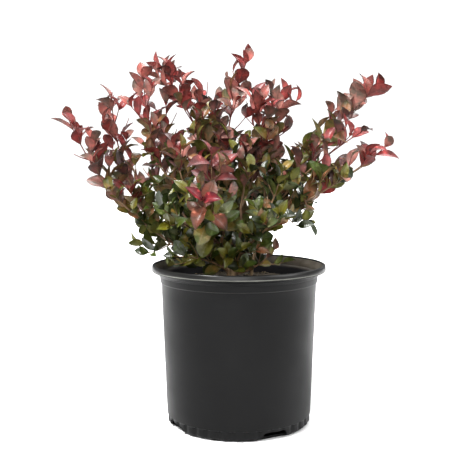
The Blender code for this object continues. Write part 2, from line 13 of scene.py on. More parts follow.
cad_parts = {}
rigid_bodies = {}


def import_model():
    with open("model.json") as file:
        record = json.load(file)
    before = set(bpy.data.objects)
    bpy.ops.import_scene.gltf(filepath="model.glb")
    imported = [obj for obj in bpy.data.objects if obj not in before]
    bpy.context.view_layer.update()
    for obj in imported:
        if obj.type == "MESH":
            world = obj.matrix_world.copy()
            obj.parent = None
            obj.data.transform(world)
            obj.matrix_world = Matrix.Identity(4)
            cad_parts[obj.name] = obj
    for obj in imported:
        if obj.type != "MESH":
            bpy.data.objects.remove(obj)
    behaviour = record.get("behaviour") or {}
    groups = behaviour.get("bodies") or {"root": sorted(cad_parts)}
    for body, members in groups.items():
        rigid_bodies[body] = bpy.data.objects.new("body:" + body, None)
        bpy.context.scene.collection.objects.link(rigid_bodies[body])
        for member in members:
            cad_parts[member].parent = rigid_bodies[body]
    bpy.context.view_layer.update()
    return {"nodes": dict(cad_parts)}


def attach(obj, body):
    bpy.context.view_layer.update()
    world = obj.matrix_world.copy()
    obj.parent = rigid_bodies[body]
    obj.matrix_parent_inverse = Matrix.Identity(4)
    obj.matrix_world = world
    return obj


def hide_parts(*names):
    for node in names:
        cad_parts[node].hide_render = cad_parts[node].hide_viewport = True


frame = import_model()
scene = bpy.context.scene
mm = 0.001
up = Vector((0, 0, 1))
print("frame loaded:", len(frame["nodes"]), "nodes")


# Camera, floor and light

view = {
    "place": (-0.00245, -1.085, 0.348),
    "pitch": 0.098,  # radians below level
    "lens": 64.2,
    "sensor": 36,
    "floorSize": 14.0,
    "floorColour": (0.93, 0.93, 0.93),
    "domeRadius": 9.0,
    "worldColour": (1.0, 1.0, 1.0),
    "worldStrength": 0.35,
}
# Where each soft sun stands as seen from the plant, how wide and how strong it is.
suns = {
    "keyLeft": ((-0.70, -0.55, 1.40), 20, 4.3),
    "fillRight": ((1.0, -0.35, 0.80), 45, 1.5),
    "front": ((-0.15, -1.0, 0.35), 50, 1.5),
    "behind": ((0.25, 1.0, 1.2), 40, 1.8),
}


def makeCamera():
    lens = bpy.data.cameras.new("camera")
    lens.lens = view["lens"]
    lens.sensor_width = view["sensor"]
    camera = objectOf("camera", lens)
    camera.location = view["place"]
    camera.rotation_euler = (math.pi / 2 - view["pitch"], 0, 0)
    scene.camera = camera


def makeLamps():
    for name, (origin, spread, strength) in suns.items():
        data = bpy.data.lights.new(name, "SUN")
        data.angle = math.radians(spread)
        data.energy = strength
        item = objectOf(name, data)
        item.location = origin
        item.rotation_euler = (-item.location).to_track_quat("-Z", "Y").to_euler()
    world = bpy.data.worlds.new("studio")
    world.use_nodes = True
    sky = world.node_tree.nodes["Background"]
    sky.inputs["Color"].default_value = (*view["worldColour"], 1)
    sky.inputs["Strength"].default_value = view["worldStrength"]
    scene.world = world
    scene.view_settings.view_transform = "Standard"
    scene.view_settings.look = "Medium High Contrast"


def makeFloor():
    half = view["floorSize"] / 2
    mesh = bpy.data.meshes.new("floor")
    corners = [(-half, -half, 0), (half, -half, 0), (half, half, 0), (-half, half, 0)]
    mesh.from_pydata(corners, [], [(0, 1, 2, 3)])
    mesh.materials.append(newMaterial("floorPaint", view["floorColour"], roughness=0.9)[0])
    floor = objectOf("floor", mesh)
    floor.visible_diffuse = False


def makeBackdrop():
    # A white dome that only the camera sees, so that it lights nothing.
    bm = bmesh.new()
    bmesh.ops.create_uvsphere(bm, u_segments=32, v_segments=16, radius=view["domeRadius"])
    bmesh.ops.reverse_faces(bm, faces=bm.faces)
    dome = objectOf("backdrop", meshOf("backdrop", bm))
    paint, _, shader = newMaterial("backdropWhite", grey(0), roughness=1.0)
    shader.inputs["Emission Color"].default_value = (1, 1, 1, 1)
    shader.inputs["Emission Strength"].default_value = 1.0
    dome.data.materials.append(paint)
    for ray in ("diffuse", "glossy", "transmission", "shadow"):
        setattr(dome, f"visible_{ray}", False)


# Materials

def newMaterial(name, colour, roughness, **sockets):
    made = bpy.data.materials.new(name)
    made.use_nodes = True
    tree = made.node_tree
    shader = tree.nodes["Principled BSDF"]
    shader.inputs["Base Color"].default_value = (*colour, 1)
    shader.inputs["Roughness"].default_value = roughness
    for socket, value in sockets.items():
        shader.inputs[socket.replace("_", " ")].default_value = value
    return made, tree, shader


def nodeOf(tree, kind, settings=None, **inputs):
    # A node whose inputs are linked where a socket is given, or else set.
    made = tree.nodes.new(kind)
    for key, value in (settings or {}).items():
        setattr(made, key, value)
    for key, value in inputs.items():
        socket = made.inputs[key.replace("_", " ")]
        if isinstance(value, bpy.types.NodeSocket):
            tree.links.new(value, socket)
        else:
            socket.default_value = value
    return made


def placeOf(tree, source):
    # The piece's own coordinates or its UV map.
    return tree.nodes.new("ShaderNodeTexCoord").outputs[source]


def noiseOf(tree, scale, detail, stretch=(1, 1, 1)):
    turn = nodeOf(tree, "ShaderNodeMapping", Vector=placeOf(tree, "Object"), Scale=stretch)
    values = {"Vector": turn.outputs["Vector"], "Scale": scale, "Detail": detail}
    return nodeOf(tree, "ShaderNodeTexNoise", **values).outputs["Fac"]


def axisOf(tree, source, axis):
    return nodeOf(tree, "ShaderNodeSeparateXYZ", Vector=placeOf(tree, source)).outputs[axis]


def rampOf(tree, source, stops):
    ramp = tree.nodes.new("ShaderNodeValToRGB")
    while len(ramp.color_ramp.elements) < len(stops):
        ramp.color_ramp.elements.new(0.5)
    for element, (place, colour) in zip(ramp.color_ramp.elements, stops):
        element.position = place
        element.color = (*colour, 1)
    tree.links.new(source, ramp.inputs["Fac"])
    return ramp.outputs["Color"]


def grey(value):
    return (value, value, value)


def scaled(colour, factor):
    # The colour times one factor, or times a factor for each channel.
    factors = factor if isinstance(factor, tuple) else grey(factor)
    return tuple(min(1.0, value * share) for value, share in zip(colour, factors))


def tonesOf(tree, source, colour, tones):
    # A ramp of one colour, times a factor at each place. Greys are a ramp of plain values.
    return rampOf(tree, source, [(place, scaled(colour, factor)) for place, factor in tones])


def greysOf(tree, source, stops):
    return rampOf(tree, source, [(place, grey(value)) for place, value in stops])


def mixOf(tree, share, first, second, kind="MIX"):
    second = second if isinstance(second, bpy.types.NodeSocket) else (*second, 1)
    settings = {"data_type": "RGBA", "blend_type": kind}
    mix = nodeOf(tree, "ShaderNodeMix", settings, Factor=share, A=first, B=second)
    return mix.outputs["Result"]


def colourWith(tree, shader, colour):
    tree.links.new(colour, shader.inputs["Base Color"])


def tonedMaterial(name, colour, tones, scale, detail, roughness, **sockets):
    # A material whose colour varies with a noise.
    made, tree, shader = newMaterial(name, colour, roughness, **sockets)
    colourWith(tree, shader, tonesOf(tree, noiseOf(tree, scale, detail), colour, tones))
    return made, tree, shader


def bumpOf(tree, shader, height, strength, distance):
    bump = nodeOf(tree, "ShaderNodeBump", Strength=strength, Distance=distance, Height=height)
    tree.links.new(bump.outputs["Normal"], shader.inputs["Normal"])


# Meshes

def addPiece(name, mesh, slot, *nodes):
    piece = objectOf(name, mesh)
    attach(piece, "root")
    if nodes:
        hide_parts(*nodes)


def objectOf(name, data):
    item = bpy.data.objects.new(name, data)
    scene.collection.objects.link(item)
    return item


def drop(item):
    bpy.data.objects.remove(item, do_unlink=True)


def turns(count):
    # Angles spaced evenly round a ring.
    return [math.tau * k / count for k in range(count)]


def around(turn, reach, height):
    # A point at this angle, in radians, round the upright axis.
    return Vector((math.cos(turn) * reach, math.sin(turn) * reach, height))


def meshOf(name, bm, smooth=None):
    mesh = bpy.data.meshes.new(name)
    bm.to_mesh(mesh)
    bm.free()
    if smooth:
        mesh.shade_smooth()
        mesh.set_sharp_from_angle(angle=math.radians(smooth))
    return mesh


def plainMesh(item):
    # The evaluated mesh of an object, whose modifiers are then gone.
    graph = bpy.context.evaluated_depsgraph_get()
    graph.update()
    shaped = item.evaluated_get(graph)
    made = bpy.data.meshes.new_from_object(shaped, preserve_all_data_layers=True, depsgraph=graph)
    drop(item)
    return made


# Geometry Nodes

class Tree:
    # A node tree with named inputs, whose modifier takes them by their identifiers.

    def __init__(self, name):
        self.tree = bpy.data.node_groups.new(name, "GeometryNodeTree")
        for way in ("INPUT", "OUTPUT"):
            self.tree.interface.new_socket(name="Geometry", in_out=way, socket_type="NodeSocketGeometry")
        self.start = self.tree.nodes.new("NodeGroupInput")
        self.given = self.start.outputs["Geometry"]
        self.end = self.tree.nodes.new("NodeGroupOutput")

    def addInputs(self, **kinds):
        for name, kind in kinds.items():
            self.tree.interface.new_socket(name=name, in_out="INPUT", socket_type=f"NodeSocket{kind}")
        return [self.start.outputs[name] for name in kinds]

    def node(self, kind, settings=None, **inputs):
        return nodeOf(self.tree, kind, settings, **inputs)

    def attribute(self, name, kind):
        found = self.node("GeometryNodeInputNamedAttribute", {"data_type": kind}, Name=name)
        return found.outputs["Attribute"]

    def setOn(self, points, shapes, **inputs):
        # One of the collection's shapes on each point, made real.
        source = self.node(
            "GeometryNodeCollectionInfo",
            Collection=shapes,
            Separate_Children=True,
            Reset_Children=True,
        )
        placed = self.node(
            "GeometryNodeInstanceOnPoints",
            Points=points,
            Instance=source.outputs["Instances"],
            Pick_Instance=True,
            **inputs,
        )
        return self.real(placed.outputs["Instances"])

    def real(self, geometry):
        return self.node("GeometryNodeRealizeInstances", Geometry=geometry).outputs["Geometry"]

    def paint(self, geometry, material, **inputs):
        painted = self.node("GeometryNodeSetMaterial", Geometry=geometry, Material=material, **inputs)
        return painted.outputs["Geometry"]

    def finish(self, geometry):
        self.tree.links.new(geometry, self.end.inputs["Geometry"])

    def apply(self, name, mesh, **values):
        item = objectOf(name, mesh)
        modifier = item.modifiers.new(name, "NODES")
        modifier.node_group = self.tree
        for socket in self.tree.interface.items_tree:
            if socket.in_out == "INPUT" and socket.name in values:
                modifier[socket.identifier] = values[socket.name]
        return plainMesh(item)


def leafTree():
    # Sets a leaf on each point, turned, sized and shaped by the point's own values.
    net = Tree("leavesOnPoints")
    inputs = net.addInputs(Shapes="Collection", UpperSide="Material", UnderSide="Material")
    shapes, upperSide, underSide = inputs
    leaves = net.setOn(
        net.given,
        shapes,
        Instance_Index=net.attribute("shape", "INT"),
        Rotation=net.attribute("turn", "QUATERNION"),
        Scale=net.attribute("size", "FLOAT_VECTOR"),
    )
    upper = net.paint(leaves, upperSide)
    net.finish(net.paint(upper, underSide, Selection=net.attribute("underside", "BOOLEAN")))
    return net


def stemTree():
    # Turns each line into a round stem of the thickness its points give.
    net = Tree("stemsOnLines")
    sides, bark = net.addInputs(Sides="Int", Bark="Material")
    lines = net.node("GeometryNodeMeshToCurve", Mesh=net.given)
    ring = net.node("GeometryNodeCurvePrimitiveCircle", Resolution=sides, Radius=1.0)
    tube = net.node(
        "GeometryNodeCurveToMesh",
        Curve=lines.outputs["Curve"],
        Profile_Curve=ring.outputs["Curve"],
        Scale=net.attribute("thickness", "FLOAT"),
        Fill_Caps=True,
    )
    smooth = net.node("GeometryNodeSetShadeSmooth", Geometry=net.real(tube.outputs["Mesh"]))
    net.finish(net.paint(smooth.outputs["Geometry"], bark))
    return net


def crumbTree():
    # Strews crumbs over a surface.
    net = Tree("crumbsOnSoil")
    shapes, paint, seed = net.addInputs(Shapes="Collection", Paint="Material", Seed="Int")
    density, smallest, largest = net.addInputs(Density="Float", Smallest="Float", Largest="Float")
    points = net.node(
        "GeometryNodeDistributePointsOnFaces",
        Mesh=net.given,
        Density=density,
        Seed=seed,
    )
    vector = {"data_type": "FLOAT_VECTOR"}
    turn = net.node("FunctionNodeRandomValue", vector, Seed=seed, Max=grey(math.tau))
    size = net.node("FunctionNodeRandomValue", {"data_type": "FLOAT"}, Seed=seed)
    net.tree.links.new(smallest, size.inputs[2])
    net.tree.links.new(largest, size.inputs[3])
    ways = {"Rotation": turn.outputs["Value"], "Scale": size.outputs[1]}
    net.finish(net.paint(net.setOn(points.outputs["Points"], shapes, **ways), paint))
    return net


# Pot

pot = {
    "columns": 360,
    "height": 0.207,
    "footFlatRadius": 0.0860,
    "footRadius": 0.0905,
    "fluteRadius": 0.0925,
    "fluteDepth": 0.0013,
    "flutePower": 2.5,
    "flutes": 36,
    "fluteLow": 0.0030,
    "fluteHigh": 0.0132,
    "bodyFoot": 0.0148,
    "bodyFootRadius": 0.0936,
    "bodyTopRadius": 0.1000,
    "bodyTop": 0.184,
    "bodyRings": 12,
    "bodyShort": 0.0155,  # how much less than the top's height the straight wall rises
    "lipRadius": 0.1125,
    "lipLow": 0.2003,
    "wall": 0.002,
    "floor": 0.003,
    # Steps of the outline, each out from a radius and up from a height.
    "underSteps": ((0, 0.0016), (0.062, 0.0014), (0.066, 0)),
    "footSteps": ((-0.0022, 0.0006), (-0.0006, 0.0018), (0, 0.0029)),
    "fluteSteps": ((-0.0006, 0.0034), (0, 0.0044), (0, 0.0080), (0.0001, 0.0118), (0.0003, 0.0131)),
    "bodyFootStep": (-0.0002, 0.0138),
    "collarSteps": (
        (-0.0001, -0.0006), (0.0003, 0.0002), (0.0011, 0.0008), (0.0015, 0.0018), (0.0018, 0.0078),
        (0.0021, 0.0087), (0.0031, 0.0093), (0.0036, 0.0104), (0.0052, 0.0126),
    ),
    "lipSteps": (
        (-0.0046, -0.0020), (-0.0030, -0.0022), (-0.0012, -0.0016), (-0.0002, -0.0003),
        (0, 0.0010), (-0.0005, 0.0034),
    ),
    "rimSteps": (
        (-0.0009, -0.0012), (-0.0016, -0.0004), (-0.0026, 0), (-0.0038, -0.0003),
        (-0.0046, -0.0016), (-0.0068, -0.0044), (-0.0088, -0.0078), (-0.0099, -0.0118),
    ),
    "ledgeSteps": ((-0.0005, -0.0130), (-0.0013, -0.0140)),
    "sharpAngle": 38,
    "notchAzimuths": (29, 119, 209, 299),
    "notchWidths": (0.045, 0.030),
    "notchHeight": 0.0100,
    "notchBelow": 0.002,
    "notchFlare": 0.0016,
    "notchRound": 0.003,
    "notchRoundIn": 0.0022,
    "notchTurns": (5, 24, 43, 62, 81),
    "notchInward": 0.0075,
    "notchOutward": 0.004,
    "colour": (0.0060, 0.0061, 0.0063),
    "dustTones": ((0.35, 0.86), (0.72, 1.25)),
    "scuffGreys": ((0.62, 0), (0.80, 0.35)),
    "scuffTone": 1.9,
    "roughGreys": ((0.3, 0.36), (0.75, 0.48)),
    # Painted light: the inner wall is painted paler than the black plastic to make up for the shade inside
    # the pot, most of all above the ledge.
    "insideLitColour": (0.230, 0.205, 0.170),
    "insideTones": ((0.3, 0.55), (0.55, 1), (0.8, 1.6)),
    "insideLowColour": (0.050, 0.049, 0.056),
    "insideAbove": 0.02,
    "insideWithin": 0.0045,
    "insideLowHeights": ((0.1930, 1), (0.1965, 0)),
    "lipColour": (0.0160, 0.0158, 0.0150),
    "lipBand": 0.0016,
    # A painted highlight: the pale line along the lip's lower outer edge, and half its height.
    "edgeHighlightColour": (0.200, 0.202, 0.180),
    "edgeHighlightHalf": 0.0008,
    # A painted highlight: a paler band on the collar's step just above the body, and its height.
    "shoulderHighlightColour": (0.036, 0.034, 0.029),
    "shoulderHighlightBand": 0.0013,
    "rubbedTones": ((0.3, 0.5), (0.7, 1.3)),
}


def lathe(profile, columns, reachOf=None):
    bm = bmesh.new()
    rings = []
    for radius, height in profile:
        if radius == 0:
            rings.append([bm.verts.new((0, 0, height))])
            continue
        ring = []
        for turn in turns(columns):
            reach = reachOf(radius, height, turn) if reachOf else radius
            ring.append(bm.verts.new(around(turn, reach, height)))
        rings.append(ring)
    for low, high in zip(rings, rings[1:]):
        for k in range(columns):
            after = (k + 1) % columns
            corners = [low[k % len(low)], low[after % len(low)], high[after % len(high)], high[k % len(high)]]
            bm.faces.new(list(dict.fromkeys(corners)))
    return bm


def fluted(radius, height, turn):
    if not pot["fluteLow"] < height < pot["fluteHigh"] or radius < pot["footRadius"] - mm:
        return radius
    inward = 0.5 - 0.5 * math.cos(pot["flutes"] * turn)
    return radius - pot["fluteDepth"] * inward ** pot["flutePower"]


def potProfile():
    # From the middle of the under side out and up, over the lip and down inside.
    foot, footHeight = pot["bodyFootRadius"], pot["bodyFoot"]
    wide, body = pot["bodyTopRadius"], pot["bodyTop"]
    profile = [*pot["underSteps"], (pot["footFlatRadius"], 0)]
    profile += stepsFrom(pot["footRadius"], 0, pot["footSteps"])
    profile += stepsFrom(pot["fluteRadius"], 0, pot["fluteSteps"])
    profile += stepsFrom(foot, 0, (pot["bodyFootStep"], (0, footHeight)))
    for i in range(1, pot["bodyRings"]):
        share = i / pot["bodyRings"]
        profile.append((foot + (wide - foot) * share, footHeight + (body - pot["bodyShort"]) * share))
    profile += stepsFrom(wide, body, pot["collarSteps"])
    profile += stepsFrom(pot["lipRadius"], pot["lipLow"], pot["lipSteps"])
    profile += stepsFrom(pot["lipRadius"], pot["height"], pot["rimSteps"])
    profile += stepsFrom(wide, pot["height"], pot["ledgeSteps"])
    for radius, height in ((wide, body), (foot, footHeight), (pot["footRadius"], pot["floor"])):
        profile.append((radius - pot["wall"], height))
    return profile + [(0, pot["floor"])]


def stepsFrom(radius, height, steps):
    return [(radius + out, height + rise) for out, rise in steps]


def makePot():
    bm = lathe(potProfile(), pot["columns"], fluted)
    bmesh.ops.recalc_face_normals(bm, faces=bm.faces)
    body = objectOf("potBody", meshOf("potBody", bm))
    cutters = []
    for azimuth in pot["notchAzimuths"]:
        cutter = objectOf(f"notchCutter{azimuth}", notchMesh(azimuth))
        cutters.append(cutter)
        cut = body.modifiers.new("notch", "BOOLEAN")
        cut.operation = "DIFFERENCE"
        cut.solver = "EXACT"
        cut.object = cutter
    mesh = plainMesh(body)
    for cutter in cutters:
        drop(cutter)
    mesh.shade_smooth()
    mesh.set_sharp_from_angle(angle=math.radians(pot["sharpAngle"]))
    plastics = {
        "wall": potPlastic(),
        "inside": potInsidePlastic(),
        # A painted highlight along the lip's lower edge.
        "edge": palerPlastic("lipEdgeHighlightPlastic", pot["edgeHighlightColour"], roughness=0.5),
        "lip": palerPlastic("lipPlastic", pot["lipColour"], roughness=0.3),
        # A painted highlight on the collar's step.
        "shoulderHighlight": palerPlastic("shoulderHighlightPlastic", pot["shoulderHighlightColour"], roughness=0.5),
    }
    mesh.materials.clear()
    for plastic in plastics.values():
        mesh.materials.append(plastic)
    order = list(plastics)
    for face in mesh.polygons:
        face.material_index = order.index(plasticAt(face.center, face.normal))
    addPiece("potShell", mesh, "pot", "pot")


def plasticAt(centre, normal):
    reach = math.hypot(centre.x, centre.y)
    height = centre.z
    facesIn = normal.x * centre.x + normal.y * centre.y < 0
    # A painted highlight on the collar's step above the body.
    if not facesIn and 0 < height - pot["bodyTop"] < pot["shoulderHighlightBand"]:
        return "shoulderHighlight"
    if reach > pot["lipRadius"] - pot["lipBand"] and height > pot["lipLow"] - pot["edgeHighlightHalf"]:
        # The thin band at the lip's lower edge is a painted highlight.
        return "edge" if height < pot["lipLow"] + pot["edgeHighlightHalf"] else "lip"
    # The inner wall is painted paler, as painted light.
    inner = pot["lipRadius"] - pot["insideWithin"]
    return "inside" if facesIn and reach < inner and height > pot["insideAbove"] else "wall"


def notchMesh(azimuth):
    # A tapered block whose top corners are rounded.
    bm = bmesh.new()
    lowHalf, highHalf = (width / 2 for width in pot["notchWidths"])
    near = pot["footRadius"] - pot["notchInward"]
    far = pot["bodyFootRadius"] + pot["notchOutward"]
    below, flare, radius = -pot["notchBelow"], pot["notchFlare"], pot["notchRound"]
    section = [(-lowHalf - flare, below), (lowHalf + flare, below)]
    for angle in pot["notchTurns"]:
        turn = math.radians(angle)
        across = highHalf - pot["notchRoundIn"] + math.cos(turn) * radius
        section.append((across, pot["notchHeight"] - radius + math.sin(turn) * radius))
    section += [(-across, height) for across, height in reversed(section[2:])]
    front, back = ([bm.verts.new((x, across, height)) for across, height in section] for x in (far, near))
    bm.faces.new(front)
    bm.faces.new(back)
    for k in range(len(section)):
        bm.faces.new((front[k - 1], front[k], back[k], back[k - 1]))
    bmesh.ops.rotate(bm, verts=bm.verts, matrix=Matrix.Rotation(math.radians(azimuth), 3, "Z"))
    bmesh.ops.recalc_face_normals(bm, faces=bm.faces)
    return meshOf("notch", bm)


def potPlastic():
    # Satin black plastic with a faint dusty bloom and fine scuffs that run round the wall.
    colour = pot["colour"]
    made, tree, shader = newMaterial("potPlastic", colour, roughness=0.42, Specular_IOR_Level=0.19)
    patchedColour = tonesOf(tree, noiseOf(tree, scale=9, detail=4), colour, pot["dustTones"])
    marks = greysOf(tree, noiseOf(tree, scale=30, detail=5, stretch=(1, 1, 9)), pot["scuffGreys"])
    colourWith(tree, shader, mixOf(tree, marks, patchedColour, scaled(colour, pot["scuffTone"])))
    rough = greysOf(tree, noiseOf(tree, scale=22, detail=4), pot["roughGreys"])
    tree.links.new(rough, shader.inputs["Roughness"])
    bumpOf(tree, shader, noiseOf(tree, scale=420, detail=2), strength=0.12, distance=0.0004)
    return made


def potInsidePlastic():
    # The inner wall, painted paler than the black plastic as painted light where the inside of the pot lies
    # in shade: tan-grey in patches above the ledge and darker below it.
    colour = pot["insideLitColour"]
    made, tree, shader = newMaterial("potInsidePlastic", colour, roughness=0.7, Specular_IOR_Level=0.35)
    patches = noiseOf(tree, scale=26, detail=5, stretch=(1, 1, 2.5))
    patchedColour = tonesOf(tree, patches, colour, pot["insideTones"])
    # Darker below the ledge and paler above it; both are paler than the plastic, as painted light.
    below = greysOf(tree, axisOf(tree, "Object", "Z"), pot["insideLowHeights"])
    colourWith(tree, shader, mixOf(tree, below, patchedColour, pot["insideLowColour"]))
    bumpOf(tree, shader, noiseOf(tree, scale=300, detail=3), strength=0.2, distance=0.0005)
    return made


def palerPlastic(name, colour, roughness):
    # Plastic paler than the wall, its tone varied by a noise. On the lip's lower edge and on the collar's
    # step the paler colour is a painted highlight; on the rest of the lip it is paler, glossier plastic.
    sockets = {"roughness": roughness, "Specular_IOR_Level": 0.45}
    return tonedMaterial(name, colour, pot["rubbedTones"], scale=34, detail=4, **sockets)[0]


# Soil

soil = {
    "top": 0.183,
    "radius": 0.0972,
    "depth": 0.02,
    "rings": 26,
    "columns": 96,
    "sharpAngle": 60,
    "roughness": 0.0016,
    "lumpScale": 45,
    "grainScale": 170,
    "grainShare": 0.6,
    "sunk": 0.0004,
    "sideBelow": 0.3,  # a face whose normal rises less belongs to the side
    "crumbShapes": 5,
    "crumbReach": (0.65, 1.15),
    "crumbWidth": 0.75,
    "crumbs": {"flat": 0.7, "seed": 3, "density": 26000.0, "smallest": 0.0007, "largest": 0.0024},
    "chips": {"flat": 0.3, "seed": 8, "density": 2600.0, "smallest": 0.0022, "largest": 0.0048},
    "colour": (0.120, 0.098, 0.070),
    "tones": ((0.3, 0.5), (0.6, 1), (0.8, 2.6)),
    "chipColour": (0.480, 0.390, 0.260),
    "chipTones": ((0.35, 0.25), (0.62, 0.8), (0.8, 1.9)),
}


def crumbMesh(rng, flat):
    bm = bmesh.new()
    bmesh.ops.create_icosphere(bm, subdivisions=1, radius=1)
    for vert in bm.verts:
        vert.co = vert.co * rng.uniform(*soil["crumbReach"])
        vert.co.y *= soil["crumbWidth"]
        vert.co.z *= flat
    return meshOf("crumb", bm)


def shapeLot(name, meshes):
    shapes = bpy.data.collections.new(name)
    scene.collection.children.link(shapes)
    for number, mesh in enumerate(meshes):
        shapes.objects.link(bpy.data.objects.new(f"{name}{number}", mesh))
    return shapes


def dropShapes(shapes):
    for item in list(shapes.objects):
        drop(item)
    bpy.data.collections.remove(shapes)


def soilMesh(name):
    top, radius, rings = soil["top"], soil["radius"], soil["rings"]
    profile = [(radius, top - soil["depth"])]
    for i in range(rings):
        profile.append((radius * (1 - i / rings), top))
    profile.append((0, top))
    bm = lathe(profile, soil["columns"])
    for vert in bm.verts:
        if vert.co.z > top - mm:
            lumps = noise.noise(vert.co * soil["lumpScale"])
            grains = noise.noise(vert.co * soil["grainScale"])
            vert.co.z += soil["roughness"] * (lumps + soil["grainShare"] * grains) - soil["sunk"]
    bmesh.ops.recalc_face_normals(bm, faces=bm.faces)
    return meshOf(name, bm, soil["sharpAngle"])


def makeSoil():
    mix, tree, shader = tonedMaterial(
        "soilMix", soil["colour"], soil["tones"], scale=160, detail=5, roughness=0.95
    )
    bumpOf(tree, shader, noiseOf(tree, scale=380, detail=5), strength=0.8, distance=0.001)
    bed = soilMesh("soilBed")
    bed.materials.append(mix)
    addPiece("soilBed", bed, "soil", "soil")
    bark, _, _ = tonedMaterial(
        "barkChips", soil["chipColour"], soil["chipTones"], scale=90, detail=3, roughness=0.9
    )
    net = crumbTree()
    for name, lot, paint in (("soilCrumbs", soil["crumbs"], mix), ("barkChipsOnSoil", soil["chips"], bark)):
        rng = random.Random(lot["seed"])
        shapes = shapeLot(name, [crumbMesh(rng, lot["flat"]) for _ in range(soil["crumbShapes"])])
        mesh = net.apply(
            name,
            crumbBed(name),
            Shapes=shapes,
            Density=lot["density"],
            Smallest=lot["smallest"],
            Largest=lot["largest"],
            Seed=lot["seed"],
            Paint=paint,
        )
        dropShapes(shapes)
        addPiece(name, mesh, "soil")


def crumbBed(name):
    # The top of the bed alone, which the crumbs lie on.
    bm = bmesh.new()
    mesh = soilMesh(name + "Bed")
    bm.from_mesh(mesh)
    bpy.data.meshes.remove(mesh)
    side = [face for face in bm.faces if face.normal.z < soil["sideBelow"]]
    bmesh.ops.delete(bm, geom=side, context="FACES")
    return meshOf(name + "Top", bm)


# Growth, by the rule of the solids

# Vectors and the side stem's ends are in metres, other lengths in millimetres, and angles in
# degrees where nothing else is said. What is behind is behind a shoot's tip.
crown = {
    "axis": Vector((-0.008, 0.0, 0.183)),
    "headHeight": 22,
    "sideStem": ((0.0150, 0.0020, 0.1833), (0.0330, 0.0040, 0.284)),
    "sideStemLean": Vector((-0.003, 0, 0)),
    "boughBend": 0.42,
    "massBend": 0.5,
    "curveSteps": 40,
    "terminal": 7,
    "firstPair": 3.0,
    "pairSpacingTip": 10,
    "pairSpacing": 22,
    "fullLeaf": 33,
    "bareFoot": 9,
    "bendShare": 0.45,
    "bendLeast": 0.6,
    "tipLeaf": 20,
    "leafWidthTip": 0.42,
    "leafWidth": 0.60,
    "leafWidths": (0.9, 1.1),
    "leafLengths": (0.88, 1.08),
    "grownBehindTip": 32,
    "grownPower": 0.7,
    "terminalSpread": 0.14,  # radians
    "terminalLeaf": 1.3,
    "turnUp": 0.8,
    "leafLift": 0.12,
    "upperLift": 0.35,
    "roll": 22,
    "pairTurn": 0.28,  # radians
    "leafTurn": 0.2,  # radians
    "spreadTip": 30,
    "spread": 46,
    "spreadChance": 9,
    "pairApart": 0.9,
    "pairApartChance": 0.4,
    "youngFoot": 0.6,
    "twigLength": 38,
    "twigLengths": (0.75, 1.15),
    "twigAngle": 0.8,  # radians
    "twigAhead": 0.5,
    "twigLift": 0.2,
    "twigChance": 0.95,
    "twigLeafShare": 0.85,
    "twigBehind": 36,
    "twigAlong": 18,
    "twigAge": 0.3,
    "budPairs": ((0.5, 6.5), (3.5, 9.5)),
    "budSpread": (14, 30),
    "budWidth": 0.34,
    "youngBehind": 55,
    "acuteYoung": 0.85,
    "acuteOld": 0.2,
    "crimsonBehind": 24,
    "copperBehind": 62,
    "rosyBehind": 58,
    "inOpeningAt": (0.5, 0.85),
    "stemRadii": (1.55, 0.5),
    "twigRadii": (0.8, 0.4),
}

# Seat azimuth and elevation on the burl, then azimuth, reach and rise of the bough's end.
boughs = {
    "bough_left": (174, 18, 179, 76, 49),
    "bough_left_back": (154, 44, 172, 40, 72),
    "bough_left_front": (220, 36, 216, 38, 62),
    "bough_top_left": (204, 68, 200, 18, 98),
    "bough_top": (60, 76, 120, 8, 92),
    "bough_right": (30, 42, 18, 44, 80),
    "bough_right_low": (336, 26, 334, 42, 80),
    "bough_front": (256, 42, 238, 44, 60),
    "bough_front_right": (300, 32, 300, 42, 52),
    "bough_inner_right": (330, 66, 330, 12, 96),
    "bough_back_left": (138, 22, 132, 50, 54),
    "bough_back": (98, 42, 92, 46, 62),
    "bough_back_right": (62, 22, 54, 46, 56),
}

